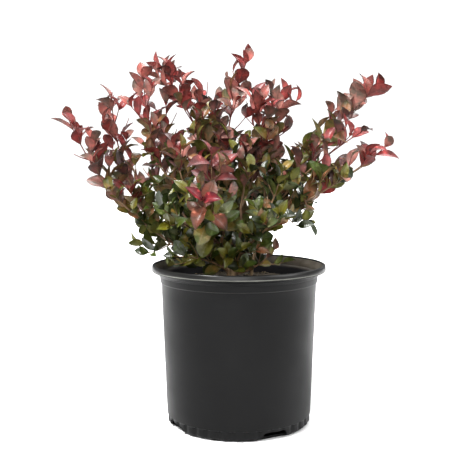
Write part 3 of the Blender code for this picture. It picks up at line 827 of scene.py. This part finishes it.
# Where each mass starts, which is a limb's end or an azimuth and height on the trunk, then the
# azimuth, reach and rise of its tip, how much flatter than its chord it sets off, the length of
# its largest leaves, its seed, and how red it is.
masses = {
    "leaves_far_left": ("bough_left", 182.7, 210, 216, 20, 34, 76, 0.42),
    "leaves_left": ("bough_left", 172.8, 158, 245, 26, 33, 137, 0.36),
    "leaves_upper_left": ("bough_left_back", 195, 114, 265, 24, 33, 134, 0.12),
    "leaves_upper_left_back": ("bough_left_back", 150.6, 102, 239, 28, 32, 111, 0.08),
    "leaves_top_left": ("bough_top_left", 146, 125, 287, -18, 34, 9, 0.0),
    "leaves_top_back": ("bough_top", 110, 139, 267, -6, 34, 103, 0.0),
    "leaves_top": ("bough_top", 56.5, 36, 291, -22, 33, 36, 0.0),
    "leaves_inner_back": ("bough_top_left", 120, 104, 194, -10, 28, 129, -0.15),
    "leaves_top_right": ("side_stem", 298, 45, 249, -24, 34, 63, 0.15),
    "leaves_upper_right": ("side_stem", 47.4, 109, 253, -16, 32, 117, 0.0),
    "leaves_far_right": ("bough_right", 3, 190, 253, -10, 38, 35, 0.0),
    "leaves_right": ("bough_right", 340, 174, 196, -12, 36, 8, 0.12),
    "leaves_right_low": ("bough_right_low", 334, 206, 178, 9, 34, 118, 0.16),
    "leaves_right_drooping": ("bough_right_low", 329, 117, 80, -26, 28, 88, -0.6),
    "leaves_rosette": ("bough_front", 258, 157, 117, 0, 37, 10, -0.1),
    "leaves_front": ("bough_front", 258, 115, 174, 24, 35, 40, 0.2),
    "leaves_front_right": ("bough_front_right", 293.5, 142, 98, 0, 28, 7, -0.5),
    "leaves_front_right_high": ("bough_front_right", 312, 92, 152, 12, 30, 117, -0.3),
    "leaves_inner_front_right": ("bough_inner_right", 318, 32, 182, 0, 29, 45, -0.2),
    "leaves_inner_right": ("bough_inner_right", 18, 42, 188, 8, 29, 90, -0.2),
    "leaves_inner_left": ("bough_left_front", 219.5, 94, 185, 14, 30, 133, 0.05),
    "leaves_front_left": ("bough_left_front", 228, 128, 104, 8, 29, 25, -0.4),
    "leaves_back_left_high": ("bough_back_left", 140, 170, 150, 10, 31, 30, 0.22),
    "leaves_back_left": ("bough_back_left", 118, 178, 112, 10, 30, 138, 0.18),
    "leaves_back_high": ("bough_back", 98, 140, 200, 12, 31, 45, 0.1),
    "leaves_back": ("bough_back", 75, 186, 128, 8, 31, 3, 0.1),
    "leaves_back_right_high": ("bough_back_right", 52, 160, 165, 10, 31, 35, 0.15),
    "leaves_back_right": ("bough_back_right", 33, 146, 130, 8, 30, 90, 0.0),
    "leaves_low_right": ((346, 9), 346, 60, 50, 20, 20, 119, 0.1),
    "leaves_low_left": ((198, 10), 190, 124, 50, -24, 33, 24, -0.5),
    "leaves_low_front_left": ((226, 10), 219, 96, 40, -14, 28, 30, -0.6),
    "leaves_low_front": ((266, 12), 266, 84, 44, -10, 28, 79, -0.5),
    "leaves_low_front_right": ((288, 8), 288, 60, 66, -6, 25, 133, -0.5),
    "leaves_low_back": ((100, 10), 100, 122, 60, -10, 28, 11, -0.3),
    "leaves_low_back_left": ((148, 8), 148, 118, 54, -10, 28, 20, -0.3),
    "leaves_low_back_right": ((64, 12), 64, 90, 54, -10, 26, 58, -0.3),
}

# Masses whose grown leaves stand otherwise: their angle to the stem and how far they turn up.
habits = {"leaves_rosette": (84, 0.0), "leaves_front": (78, 0.2)}

# Openings that show the sky from the front: across, height and radius in millimetres, where
# the sight line crosses the plane through the trunk. No leaf grows into them.
openings = (
    (-221, 359, 15), (-203, 330, 17), (-199, 406, 13), (-182, 293, 17), (-181, 391, 10),
    (-166, 272, 12), (-155, 217, 16), (-152, 439, 14), (-147, 257, 13), (-142, 399, 13),
    (-127, 333, 9), (-107, 419, 11), (-96, 330, 9), (-75, 396, 13), (-39, 447, 14), (-18, 464, 13),
    (0, 392, 14), (22, 450, 13), (66, 254, 10), (66, 368, 8), (78, 383, 13), (79, 234, 19),
    (95, 407, 18), (112, 280, 12), (137, 303, 12), (138, 357, 11), (153, 390, 10), (160, 322, 12),
    (176, 372, 11),
)


def direction(azimuth, elevation):
    lift = math.radians(elevation)
    return around(math.radians(azimuth), math.cos(lift), math.sin(lift))


def onAxis(height):
    return crown["axis"] + up * height * mm


def place(azimuth, reach, rise):
    return crown["axis"] + around(math.radians(azimuth), reach, rise) * mm


def bezier(start, middle, end, share):
    back = 1 - share
    return start * back * back + middle * 2 * back * share + end * share * share


def bezierAhead(start, middle, end, share):
    return ((middle - start) * (1 - share) + (end - middle) * share).normalized()


def elevationOf(chord):
    return math.degrees(math.atan2(chord.z, math.hypot(chord.x, chord.y)))


def grown(behind):
    return min(1, behind / crown["grownBehindTip"])


def between(young, old, age):
    return young + (old - young) * age


def chance(rng, name):
    # As much as the crown's value of this name, either way.
    return rng.uniform(-crown[name], crown[name])


def surfaceOf(node):
    mesh = frame["nodes"][node].data
    corners = [vert.co for vert in mesh.vertices]
    return BVHTree.FromPolygons(corners, [face.vertices for face in mesh.polygons])


def boughLines():
    trunk = surfaceOf("trunk")
    lines = {}
    for name, (seatAzimuth, seatElevation, azimuth, reach, rise) in boughs.items():
        ahead = direction(seatAzimuth, seatElevation)
        seat = trunk.ray_cast(onAxis(crown["headHeight"]), ahead)[0]
        end = place(azimuth, reach, rise)
        lines[name] = (seat, seat + ahead * (end - seat).length * crown["boughBend"], end)
    foot, tip = (Vector(point) for point in crown["sideStem"])
    lines["side_stem"] = (foot, foot.lerp(tip, 0.5) + crown["sideStemLean"], tip)
    return lines, trunk


def massLine(name, lines, trunk):
    holder, azimuth, reach, rise, turn, *_ = masses[name]
    end = place(azimuth, reach, rise)
    if holder in lines:
        start = lines[holder][2]
        chord = end - start
        ahead = direction(math.degrees(math.atan2(chord.y, chord.x)), elevationOf(chord) - turn)
    else:
        heading, height = holder
        origin = onAxis(height)
        ahead = direction(heading, elevationOf(end - origin) - turn)
        start = trunk.ray_cast(origin, ahead)[0]
    return start, start + ahead * (end - start).length * crown["massBend"], end


def stemNodes(length, largest):
    found = []
    behind = crown["terminal"] + crown["firstPair"]
    tip, full = crown["pairSpacingTip"], crown["pairSpacing"]
    while behind < length - crown["bareFoot"]:
        found.append(behind)
        behind += tip + (full - tip) * grown(behind) * largest / crown["fullLeaf"]
    return found


def leafFrame(rng, root, ahead, side, spread, length, widthShare):
    out = (ahead * math.cos(spread) + side * math.sin(spread)).normalized()
    out = (out + up * crown["leafLift"]).normalized()
    upper = ahead - out * ahead.dot(out) + up * crown["upperLift"]
    upper = (upper - out * upper.dot(out)).normalized()
    roll = Matrix.Rotation(math.radians(chance(rng, "roll")), 3, out)
    width = length * widthShare * rng.uniform(*crown["leafWidths"])
    return root, out, roll @ upper, length, width


def growStem(rng, line, largest, widest=crown["spread"], turnUp=crown["turnUp"]):
    # The stem's points from foot to tip, the nodes where twigs may leave it, and its
    # leaves, each with its distance behind the tip.
    steps = crown["curveSteps"]
    fine = [bezier(*line, i / steps) for i in range(steps + 1)]
    run = [0.0]
    for low, high in zip(fine, fine[1:]):
        run.append(run[-1] + (high - low).length / mm)
    total = run[-1]
    terminal, spacing = crown["terminal"], crown["pairSpacing"]
    turn = rng.uniform(0, math.tau)
    points = [bezier(*line, 1 - terminal / total)]
    nodes = []
    leaves = []
    for number, behind in enumerate(stemNodes(total, largest)):
        along = total - behind
        i = max(k for k in range(steps) if run[k] <= along)
        share = (i + (along - run[i]) / (run[i + 1] - run[i])) / steps
        root = bezier(*line, share)
        ahead = bezierAhead(*line, share)
        points.append(root)
        lower = max(share - crown["bendShare"] * spacing / total, share * crown["bendLeast"])
        points.append(bezier(*line, lower))
        first = ahead.orthogonal().normalized()
        turn += math.pi / 2 + chance(rng, "pairTurn")
        age = grown(behind)
        length = between(crown["tipLeaf"], largest, age ** crown["grownPower"])
        length *= rng.uniform(*crown["leafLengths"])
        widthShare = between(crown["leafWidthTip"], crown["leafWidth"], age)
        for half in (0, math.pi):
            side = Matrix.Rotation(turn + half + chance(rng, "leafTurn"), 3, ahead) @ first
            side = (side + (up - ahead * ahead.z) * turnUp).normalized()
            opened = between(crown["spreadTip"], widest, age)
            spread = math.radians(opened + chance(rng, "spreadChance"))
            apart = math.copysign(crown["pairApart"], half - 1) + chance(rng, "pairApartChance")
            foot = root + ahead * apart * (crown["youngFoot"] + age) * mm
            leaves.append((behind, leafFrame(rng, foot, ahead, side, spread, length, widthShare)))
            nodes.append((behind, along, root, ahead, side))
        if number == 0:
            foot = points[0] - ahead * mm
            size = (terminal * crown["terminalLeaf"], crown["leafWidth"])
            leaves.append((0, leafFrame(rng, foot, ahead, first, crown["terminalSpread"], *size)))
    points.append(line[0])
    points.reverse()
    return points, nodes, leaves


def inOpening(item):
    eye = Vector(view["place"])
    root, out, _, length, _ = item
    for share in crown["inOpeningAt"]:
        sight = root + out * length * share * mm - eye
        seen = (eye - sight * (eye.y / sight.y)) / mm
        for across, height, radius in openings:
            if math.hypot(seen.x - across, seen.z - height) < radius:
                return True
    return False


def growTwigs(seed, nodes, largest):
    twigs = []
    for number, (behind, along, root, ahead, side) in enumerate(nodes):
        rng = random.Random(seed * 100 + number)
        tooNear = behind < crown["twigBehind"] or along < crown["twigAlong"]
        if tooNear or rng.random() > crown["twigChance"]:
            continue
        reach = crown["twigLength"] * rng.uniform(*crown["twigLengths"]) * mm
        way = (ahead * math.cos(crown["twigAngle"]) + side * math.sin(crown["twigAngle"])).normalized()
        bend = (way + ahead * crown["twigAhead"] + up * crown["twigLift"]).normalized()
        line = (root, root + way * reach * 0.5, root + (way + bend) * reach * 0.5)
        points, _, leaves = growStem(rng, line, largest * crown["twigLeafShare"])
        twigs.append((behind, points, leaves))
    return twigs


def tipLeaves(rng, points):
    # The tight pairs of very young leaves round a shoot's bud.
    tip = points[-1]
    ahead = (tip - points[-2]).normalized()
    first = ahead.orthogonal().normalized()
    turn = rng.uniform(0, math.tau)
    found = []
    for behind, length in crown["budPairs"]:
        turn += math.pi / 2
        foot = tip - ahead * behind * mm
        for half in (0, math.pi):
            side = Matrix.Rotation(turn + half, 3, ahead) @ first
            spread = math.radians(rng.uniform(*crown["budSpread"]))
            found.append((behind, leafFrame(rng, foot, ahead, side, spread, length, crown["budWidth"])))
    return found


# Leaves

# The colour and gloss of each kind's upper side, the colour of its under side, and its slot. The under side's
# paler colour is partly the leaf's own and partly painted light that stands in for light shining through the
# leaf.
leafKinds = {
    "crimson": ((0.190, 0.022, 0.028), 0.30, (0.380, 0.050, 0.050), "wine_leaves"),
    "copper": ((0.180, 0.056, 0.036), 0.30, (0.320, 0.110, 0.065), "wine_leaves"),
    "rosy": ((0.205, 0.055, 0.054), 0.30, (0.360, 0.110, 0.105), "wine_leaves"),
    "wine": ((0.285, 0.047, 0.045), 0.45, (0.420, 0.088, 0.080), "wine_leaves"),
    "plum": ((0.112, 0.044, 0.042), 0.80, (0.240, 0.105, 0.095), "wine_leaves"),
    "brick": ((0.410, 0.112, 0.094), 0.45, (0.490, 0.160, 0.135), "wine_leaves"),
    "rose": ((0.335, 0.135, 0.112), 0.40, (0.450, 0.200, 0.165), "bronze_leaves"),
    "bronze": ((0.230, 0.100, 0.048), 0.40, (0.340, 0.180, 0.095), "bronze_leaves"),
    "oliveBronze": ((0.205, 0.132, 0.034), 0.45, (0.300, 0.205, 0.080), "bronze_leaves"),
    "olive": ((0.135, 0.120, 0.018), 0.50, (0.200, 0.195, 0.060), "green_leaves"),
    "goldGreen": ((0.165, 0.148, 0.016), 0.50, (0.270, 0.260, 0.080), "green_leaves"),
    "greyGreen": ((0.118, 0.126, 0.058), 0.50, (0.240, 0.255, 0.150), "green_leaves"),
    "green": ((0.072, 0.092, 0.014), 0.60, (0.140, 0.165, 0.050), "green_leaves"),
    "darkGreen": ((0.021, 0.030, 0.006), 0.75, (0.055, 0.070, 0.022), "green_leaves"),
}

# How a leaf of each share of redness is dealt its kind: the share above which the row
# holds, and how often each kind comes.
deal = (
    (0.86, {"brick": 4, "wine": 4, "rose": 1, "plum": 1}),
    (0.68, {"brick": 2, "wine": 3, "rose": 2, "plum": 2, "bronze": 1}),
    (0.50, {"brick": 1, "wine": 2, "rose": 3, "plum": 2, "bronze": 3, "oliveBronze": 1}),
    (0.34, {"plum": 1, "bronze": 4, "oliveBronze": 3, "olive": 2, "rose": 2}),
    (0.20, {"bronze": 1, "oliveBronze": 3, "olive": 3, "goldGreen": 1, "green": 3, "darkGreen": 3}),
    (-9.0, {
        "bronze": 1, "oliveBronze": 1, "olive": 3, "goldGreen": 1, "greyGreen": 2, "green": 4, "darkGreen": 6,
    }),
)

# A leaf's share of redness: so much in any case, so much with its height in the crown and its
# nearness to the shoot's tip, what its mass gives, which fades behind the tip, less on a twig,
# and chance.
redRule = {
    "base": 0.30,
    "height": 0.42,
    "heightFrom": 0.285,
    "heightSpan": 0.105,
    "heightLimits": (-0.4, 1.2),
    "tip": 0.26,
    "tipWithin": 110,
    "massFade": 0.5,
    "massWithin": 120,
    "twig": 0.15,
    "chance": 0.13,
}

# Outline, fold of the blade, bend of its tip down, waviness of its rim and sideways curve.
# The first three are young leaves, the others grown ones.
leafShapes = (
    ("acute", 0.40, 0.60, 0.00, 0.00),
    ("acute", 0.55, 0.95, 0.02, 0.03),
    ("acute", 0.30, 0.40, 0.02, -0.03),
    ("blunt", 0.45, 1.10, 0.02, 0.02),
    ("blunt", 0.30, 0.70, -0.03, -0.02),
    ("blunt", 0.38, 0.30, 0.02, 0.00),
)

# Shares of the length from the leaf's stalk to its tip, and half the width at each.
leafOutlines = {
    "acute": (
        (0, 0.06, 0.17, 0.34, 0.52, 0.70, 0.87, 1),
        (0.045, 0.06, 0.26, 0.46, 0.50, 0.42, 0.21, 0.015),
    ),
    "blunt": (
        (0, 0.07, 0.19, 0.37, 0.57, 0.77, 0.93, 1),
        (0.045, 0.06, 0.25, 0.46, 0.54, 0.48, 0.25, 0.04),
    ),
}

blade = {
    "bendPower": 1.6,
    "startLift": 0.12,
    "foldHalf": 0.5,
    "waves": 9,
    "thickness": 0.016,
    # Place and rise of each line along the upper side, from one rim to the other.
    "lines": ((-1, 1), (-0.5, 0.48), (0, 0), (0.5, 0.48), (1, 1)),
    # Pairs of lines with a strip between them. Line 5 is the under side's middle.
    "strips": ((0, 1), (1, 2), (2, 3), (3, 4), (5, 0), (4, 5)),
    "across": (0, 0.25, 0.5, 0.75, 1, 0.5),
    "upperRoughness": 0.34,
    "underRoughness": 0.55,
    "underGloss": 0.4,
    "alongTones": ((0, 0.9), (0.4, 1.15), (1, (0.55, 0.75, 0.75))),
    "rimGreys": ((0, 0.6), (0.14, 1), (0.86, 1), (1, 0.6)),
    "ribGreys": ((0.46, 0), (0.49, 0.40), (0.51, 0.40), (0.54, 0)),
    "ribPaler": (0.8, 0.10),
    "redOver": 1.4,  # how many times its green a red leaf's red is
    "redMottle": (0.54, 0.86, 0.84),
    "greenMottle": (0.72, 0.68, 0.50),
    "mottlePlaces": (0.38, 0.60),
    "mottleTop": 1.12,
    "veins": 3.2,
    "veinBend": 1.2,
}


def leafMesh(outline, fold, bend, wave, curve):
    # A closed blade: its upper side in four strips, its under side in two.
    bm = bmesh.new()
    uv = bm.loops.layers.uv.new("UVMap")
    marks = bm.faces.layers.bool.new("underside")
    columns = []
    x = z = 0.0
    last = 0.0
    for share, half in zip(*leafOutlines[outline]):
        angle = bend * share ** blade["bendPower"] - blade["startLift"]
        x += math.cos(angle) * (share - last)
        z -= math.sin(angle) * (share - last)
        last = share
        lift = fold * half * blade["foldHalf"]
        ripple = wave * math.sin(share * blade["waves"])
        sideways = curve * math.sin(share * math.pi)
        row = []
        for across, rise in blade["lines"]:
            ripples = ripple * across * half * 2
            row.append(bm.verts.new((x, half * across + sideways, z + lift * rise + ripples)))
        row.append(bm.verts.new((x, sideways, z - blade["thickness"])))
        columns.append((share, row))
    underLine = len(blade["lines"])
    for (lowShare, low), (highShare, high) in zip(columns, columns[1:]):
        for first, second in blade["strips"]:
            face = bm.faces.new((low[first], high[first], high[second], low[second]))
            corners = ((lowShare, first), (highShare, first), (highShare, second), (lowShare, second))
            for loop, (share, line) in zip(face.loops, corners):
                loop[uv].uv = (share, blade["across"][line])
            face[marks] = underLine in (first, second)
    for _, row in (columns[0], columns[-1]):
        bm.faces.new(row)[marks] = True
    bmesh.ops.recalc_face_normals(bm, faces=bm.faces)
    for face in bm.faces:
        face.smooth = True
    for edge in bm.edges:
        edge.smooth = len({face[marks] for face in edge.link_faces}) == 1
    return meshOf("leafShape", bm)


def leafPaint(name, colour, roughness, gloss):
    # A leaf's colour, browner at its tip and along its rim, with a paler midrib and veins.
    made, tree, shader = newMaterial(name, colour, roughness, Specular_IOR_Level=gloss)
    along, across = axisOf(tree, "UV", "X"), axisOf(tree, "UV", "Y")
    length = tonesOf(tree, along, colour, blade["alongTones"])
    shaded = mixOf(tree, 1.0, length, greysOf(tree, across, blade["rimGreys"]), "MULTIPLY")
    isRed = colour[0] > colour[1] * blade["redOver"]
    mottles = (blade["redMottle"] if isRed else blade["greenMottle"], grey(blade["mottleTop"]))
    mottle = rampOf(tree, noiseOf(tree, scale=95, detail=3), list(zip(blade["mottlePlaces"], mottles)))
    mottled = mixOf(tree, 1.0, shaded, mottle, "MULTIPLY")
    share, paler = blade["ribPaler"]
    ribColour = tuple(value * share + paler for value in colour)
    colourWith(tree, shader, mixOf(tree, greysOf(tree, across, blade["ribGreys"]), mottled, ribColour))
    veins = {"Scale": blade["veins"], "Distortion": blade["veinBend"]}
    wave = nodeOf(tree, "ShaderNodeTexWave", Vector=placeOf(tree, "UV"), **veins)
    bumpOf(tree, shader, wave.outputs["Fac"], strength=0.25, distance=0.0004)
    return made


def redness(rng, mass, behind, point, onTwig):
    lowest, highest = redRule["heightLimits"]
    height = min(highest, max(lowest, (point.z - redRule["heightFrom"]) / redRule["heightSpan"]))
    nearTip = 1 - min(1, behind / redRule["tipWithin"])
    share = redRule["base"] + redRule["height"] * height + redRule["tip"] * nearTip
    *_, massRed = masses[mass]
    share += massRed * (1 - redRule["massFade"] * min(1, behind / redRule["massWithin"]))
    if onTwig:
        share -= redRule["twig"]
    return share + rng.uniform(-redRule["chance"], redRule["chance"])


def kindOf(rng, mass, behind, point, onTwig):
    share = redness(rng, mass, behind, point, onTwig)
    if mass == "leaves_rosette" and behind < crown["copperBehind"] and not onTwig:
        return "crimson" if behind < crown["crimsonBehind"] else "copper"
    if mass == "leaves_front" and behind < crown["rosyBehind"] and not onTwig:
        return "rosy"
    for lowest, kinds in deal:
        if share > lowest:
            return rng.choices(list(kinds), list(kinds.values()))[0]


def leafPoints(name, frames):
    mesh = bpy.data.meshes.new(name)
    mesh.from_pydata([root for root, *_ in frames], [], [])
    rotations = []
    sizes = []
    for _, out, upper, length, width, _ in frames:
        across = upper.cross(out)
        rotations.extend(Matrix((out, across, upper)).transposed().to_quaternion())
        sizes.extend((length * mm, width * mm, length * mm))
    setOnPoints(mesh, "turn", "QUATERNION", "value", rotations)
    setOnPoints(mesh, "size", "FLOAT_VECTOR", "vector", sizes)
    setOnPoints(mesh, "shape", "INT", "value", [shape for *_, shape in frames])
    return mesh


def setOnPoints(mesh, name, kind, field, values):
    mesh.attributes.new(name, kind, "POINT").data.foreach_set(field, values)


def growCrown():
    # Each mass's stem, kinds and leaf shapes are drawn from seeds of their own.
    lines, trunk = boughLines()
    leaves = {kind: {"frames": [], "masses": set()} for kind in leafKinds}
    stems = []
    for name, (*_, largest, seed, _) in masses.items():
        habit = habits.get(name, (crown["spread"], crown["turnUp"]))
        line = massLine(name, lines, trunk)
        points, nodes, found = growStem(random.Random(seed), line, largest, *habit)
        dealer = random.Random(seed * 7 + 1)
        stems.append((points, crown["stemRadii"]))
        twigs = growTwigs(seed, nodes, largest)
        found = [(behind, item, False) for behind, item in found + tipLeaves(dealer, points)]
        for behind, twigPoints, twigLeaves in twigs:
            stems.append((twigPoints, crown["twigRadii"]))
            found += [(behind + own * crown["twigAge"], item, True) for own, item in twigLeaves]
        shaper = random.Random(seed * 13 + 5)
        for behind, item, onTwig in found:
            kind = kindOf(dealer, name, behind, item[0], onTwig)
            acute = crown["acuteYoung"] if behind < crown["youngBehind"] else crown["acuteOld"]
            row = 0 if shaper.random() < acute else 3
            shape = shaper.randrange(3) + row
            if not inOpening(item):
                leaves[kind]["frames"].append((*item, shape))
                leaves[kind]["masses"].add(name)
    return lines, stems, leaves


def makeLeaves(leaves):
    net = leafTree()
    shapes = shapeLot("leafShapes", [leafMesh(*values) for values in leafShapes])
    total = 0
    for kind, found in leaves.items():
        # The under side's colour is partly painted light, standing in for light through the leaf.
        upper, gloss, underLitColour, slot = leafKinds[kind]
        name = "leaves" + kind[0].upper() + kind[1:]
        mesh = net.apply(
            name,
            leafPoints(name, found["frames"]),
            Shapes=shapes,
            UpperSide=leafPaint(name + "Upper", upper, blade["upperRoughness"], gloss),
            UnderSide=leafPaint(name + "Under", underLitColour, blade["underRoughness"], blade["underGloss"]),
        )
        addPiece(name, mesh, slot, *sorted(found["masses"]))
        total += len(found["frames"])
        print(name, len(found["frames"]), "leaves", len(mesh.polygons), "faces")
    dropShapes(shapes)
    print("leaves in all:", total)


# Shoots and twigs

shoots = {
    "redAbove": 0.335,
    "redBark": (0.200, 0.055, 0.045),
    "brownBark": (0.320, 0.205, 0.120),
    "tones": ((0.35, 0.6), (0.6, 1), (0.8, 1.5)),
    "sides": 7,
}


def shootPaint(name, colour):
    made, tree, shader = tonedMaterial(
        name, colour, shoots["tones"], scale=140, detail=3, roughness=0.6
    )
    bumpOf(tree, shader, noiseOf(tree, scale=700, detail=3), strength=0.4, distance=0.0004)
    return made


def makeShoots(stems):
    net = stemTree()
    lots = {"redShoots": ([], [], []), "brownShoots": ([], [], [])}
    for points, radii in stems:
        for i, (low, high) in enumerate(zip(points, points[1:])):
            lot = "redShoots" if high.z > shoots["redAbove"] else "brownShoots"
            verts, edges, widths = lots[lot]
            if not verts or verts[-1] is not low:
                verts.append(low)
                widths.append(thickness(i, len(points), *radii))
            verts.append(high)
            widths.append(thickness(i + 1, len(points), *radii))
            edges.append((len(verts) - 2, len(verts) - 1))
    for name, slot, colour in (
        ("redShoots", "wine_leaves", shoots["redBark"]),
        ("brownShoots", "young_bark", shoots["brownBark"]),
    ):
        verts, edges, widths = lots[name]
        mesh = bpy.data.meshes.new(name)
        mesh.from_pydata(verts, edges, [])
        setOnPoints(mesh, "thickness", "FLOAT", "value", widths)
        made = net.apply(name, mesh, Sides=shoots["sides"], Bark=shootPaint(name + "Bark", colour))
        addPiece(name, made, slot, *sorted(masses))
        print(name, len(made.polygons), "faces")


def thickness(index, count, foot, tip):
    return (foot + (tip - foot) * index / (count - 1)) * mm


# Trunk and boughs

wood = {
    "trunkFoot": (-0.0100, -0.0040),
    # Height above the soil and radius, in millimetres.
    "trunkShape": (
        (-2.0, 12.6), (0, 11.0), (2.5, 8.4), (6, 6.9), (10, 6.4), (14, 7.2), (18, 9.0), (22, 10.0),
        (26, 9.6), (29.5, 7.0), (31.5, 3.0),
    ),
    "trunkSides": 36,
    "flareLobes": 5,
    "flareDepth": 0.16,
    "flareHeight": 8,
    "knobs": 0.08,
    "knobRise": 0.11,
    "knobScale": 1.7,
    "limbSides": 12,
    "limbSteps": 24,
    "limbFoot": 2.3,
    "limbTip": 1.75,
    "collar": (4.2, 3.4, 2.8, 2.45),
    "collarBelow": 4,
    "collarOut": 0.45,
    "voxel": 0.0006,
    "relief": 0.00035,
    "fibresAcross": 620,
    "fibresAlong": 130,
    "lumps": 210,
    "lumpShare": 0.7,
    "burlHeight": 0.018,
    "burlRadius": 0.024,
    "sideStemFrom": 0.012,
    "sideStemTop": 0.25,
    "colour": (0.410, 0.295, 0.185),
    "boughColour": (0.190, 0.115, 0.070),
    "furrowTones": ((0.3, 0.32), (0.52, 1), (0.75, 1.45)),
    "blotchGreys": ((0.4, 0), (0.7, 0.5)),
    "blotchTone": 0.5,
}


def tube(bm, points, radii):
    rings = []
    side = (points[1] - points[0]).normalized().orthogonal()
    for i, point in enumerate(points):
        ahead = (points[min(i + 1, len(points) - 1)] - points[max(i - 1, 0)]).normalized()
        side = (side - ahead * side.dot(ahead)).normalized()
        across = ahead.cross(side)
        ring = []
        for turn in turns(wood["limbSides"]):
            outward = side * math.cos(turn) + across * math.sin(turn)
            ring.append(bm.verts.new(point + outward * radii[i] * mm))
        rings.append(ring)
    closeRings(bm, rings)


def closeRings(bm, rings):
    for low, high in zip(rings, rings[1:]):
        for k in range(len(low)):
            bm.faces.new((low[k - 1], low[k], high[k], high[k - 1]))
    bm.faces.new(list(reversed(rings[0])))
    bm.faces.new(rings[-1])


def trunkInto(bm):
    axis = crown["axis"]
    foot = Vector((*wood["trunkFoot"], axis.z))
    rings = []
    for height, radius in wood["trunkShape"]:
        centre = foot.lerp(axis, min(1, max(0, height) / crown["headHeight"]))
        flare = wood["flareDepth"] * max(0, 1 - height / wood["flareHeight"])
        ring = []
        for turn in turns(wood["trunkSides"]):
            at = around(turn, 1, height * wood["knobRise"]) * wood["knobScale"]
            lobe = flare * math.sin(wood["flareLobes"] * turn)
            reach = radius * mm * (1 + wood["knobs"] * noise.noise(at) + lobe)
            ring.append(bm.verts.new(centre + around(turn, reach, height * mm)))
        rings.append(ring)
    closeRings(bm, rings)


def makeWood(lines):
    bm = bmesh.new()
    trunkInto(bm)
    steps = wood["limbSteps"]
    foot, tip = wood["limbFoot"], wood["limbTip"]
    for name, line in lines.items():
        points = [bezier(*line, i / steps) for i in range(steps + 1)]
        radii = [foot + (tip - foot) * i / steps for i in range(steps + 1)]
        if name != "side_stem":
            root = onAxis(crown["headHeight"] - wood["collarBelow"])
            points.insert(0, root.lerp(line[0], wood["collarOut"]))
            radii = [*wood["collar"], *radii[len(wood["collar"]) - 1:]]
        tube(bm, points, radii)
    bmesh.ops.recalc_face_normals(bm, faces=bm.faces)
    item = objectOf("wood", meshOf("wood", bm))
    remesh = item.modifiers.new("fuse", "REMESH")
    remesh.mode = "VOXEL"
    remesh.voxel_size = wood["voxel"]
    mesh = plainMesh(item)
    carve(mesh)
    mesh.shade_smooth()
    mesh.materials.clear()
    mesh.materials.append(barkPaint("trunkBark", wood["colour"]))
    mesh.materials.append(barkPaint("boughBark", wood["boughColour"]))
    burl = crown["axis"] + up * wood["burlHeight"]
    for face in mesh.polygons:
        onTrunk = (face.center - burl).length < wood["burlRadius"]
        onSideStem = face.center.x > wood["sideStemFrom"] and face.center.z < wood["sideStemTop"]
        face.material_index = 0 if onTrunk or onSideStem else 1
    addPiece("woodwork", mesh, "bark", "trunk", *sorted(lines))
    print("woodwork", len(mesh.polygons), "faces")


def carve(mesh):
    # Relief of the bark, along the normals that the smooth skin has.
    across, along = wood["fibresAcross"], wood["fibresAlong"]
    normals = [vert.normal.copy() for vert in mesh.vertices]
    for vert, outward in zip(mesh.vertices, normals):
        at = vert.co
        fibres = noise.noise(Vector((at.x * across, at.y * across, at.z * along)))
        lumps = noise.noise(at * wood["lumps"])
        vert.co = at + outward * wood["relief"] * (fibres + wood["lumpShare"] * lumps)


def barkPaint(name, colour):
    # Tan bark with darker furrows that run up the limb, and dark blotches.
    made, tree, shader = newMaterial(name, colour, roughness=0.85)
    fibres = noiseOf(tree, scale=260, detail=4, stretch=(1, 1, 0.25))
    furrows = tonesOf(tree, fibres, colour, wood["furrowTones"])
    blotches = greysOf(tree, noiseOf(tree, scale=70, detail=3), wood["blotchGreys"])
    colourWith(tree, shader, mixOf(tree, blotches, furrows, scaled(colour, wood["blotchTone"])))
    relief = noiseOf(tree, scale=900, detail=4, stretch=(1, 1, 0.3))
    bumpOf(tree, shader, relief, strength=0.6, distance=0.0006)
    return made


makeCamera()
makeLamps()
makeFloor()
makeBackdrop()
makePot()
print("pot made")
makeSoil()
print("soil made")
lines, stems, leaves = growCrown()
makeWood(lines)
makeShoots(stems)
makeLeaves(leaves)
for name, node in frame["nodes"].items():
    if not node.hide_render:
        print("still shown:", name)
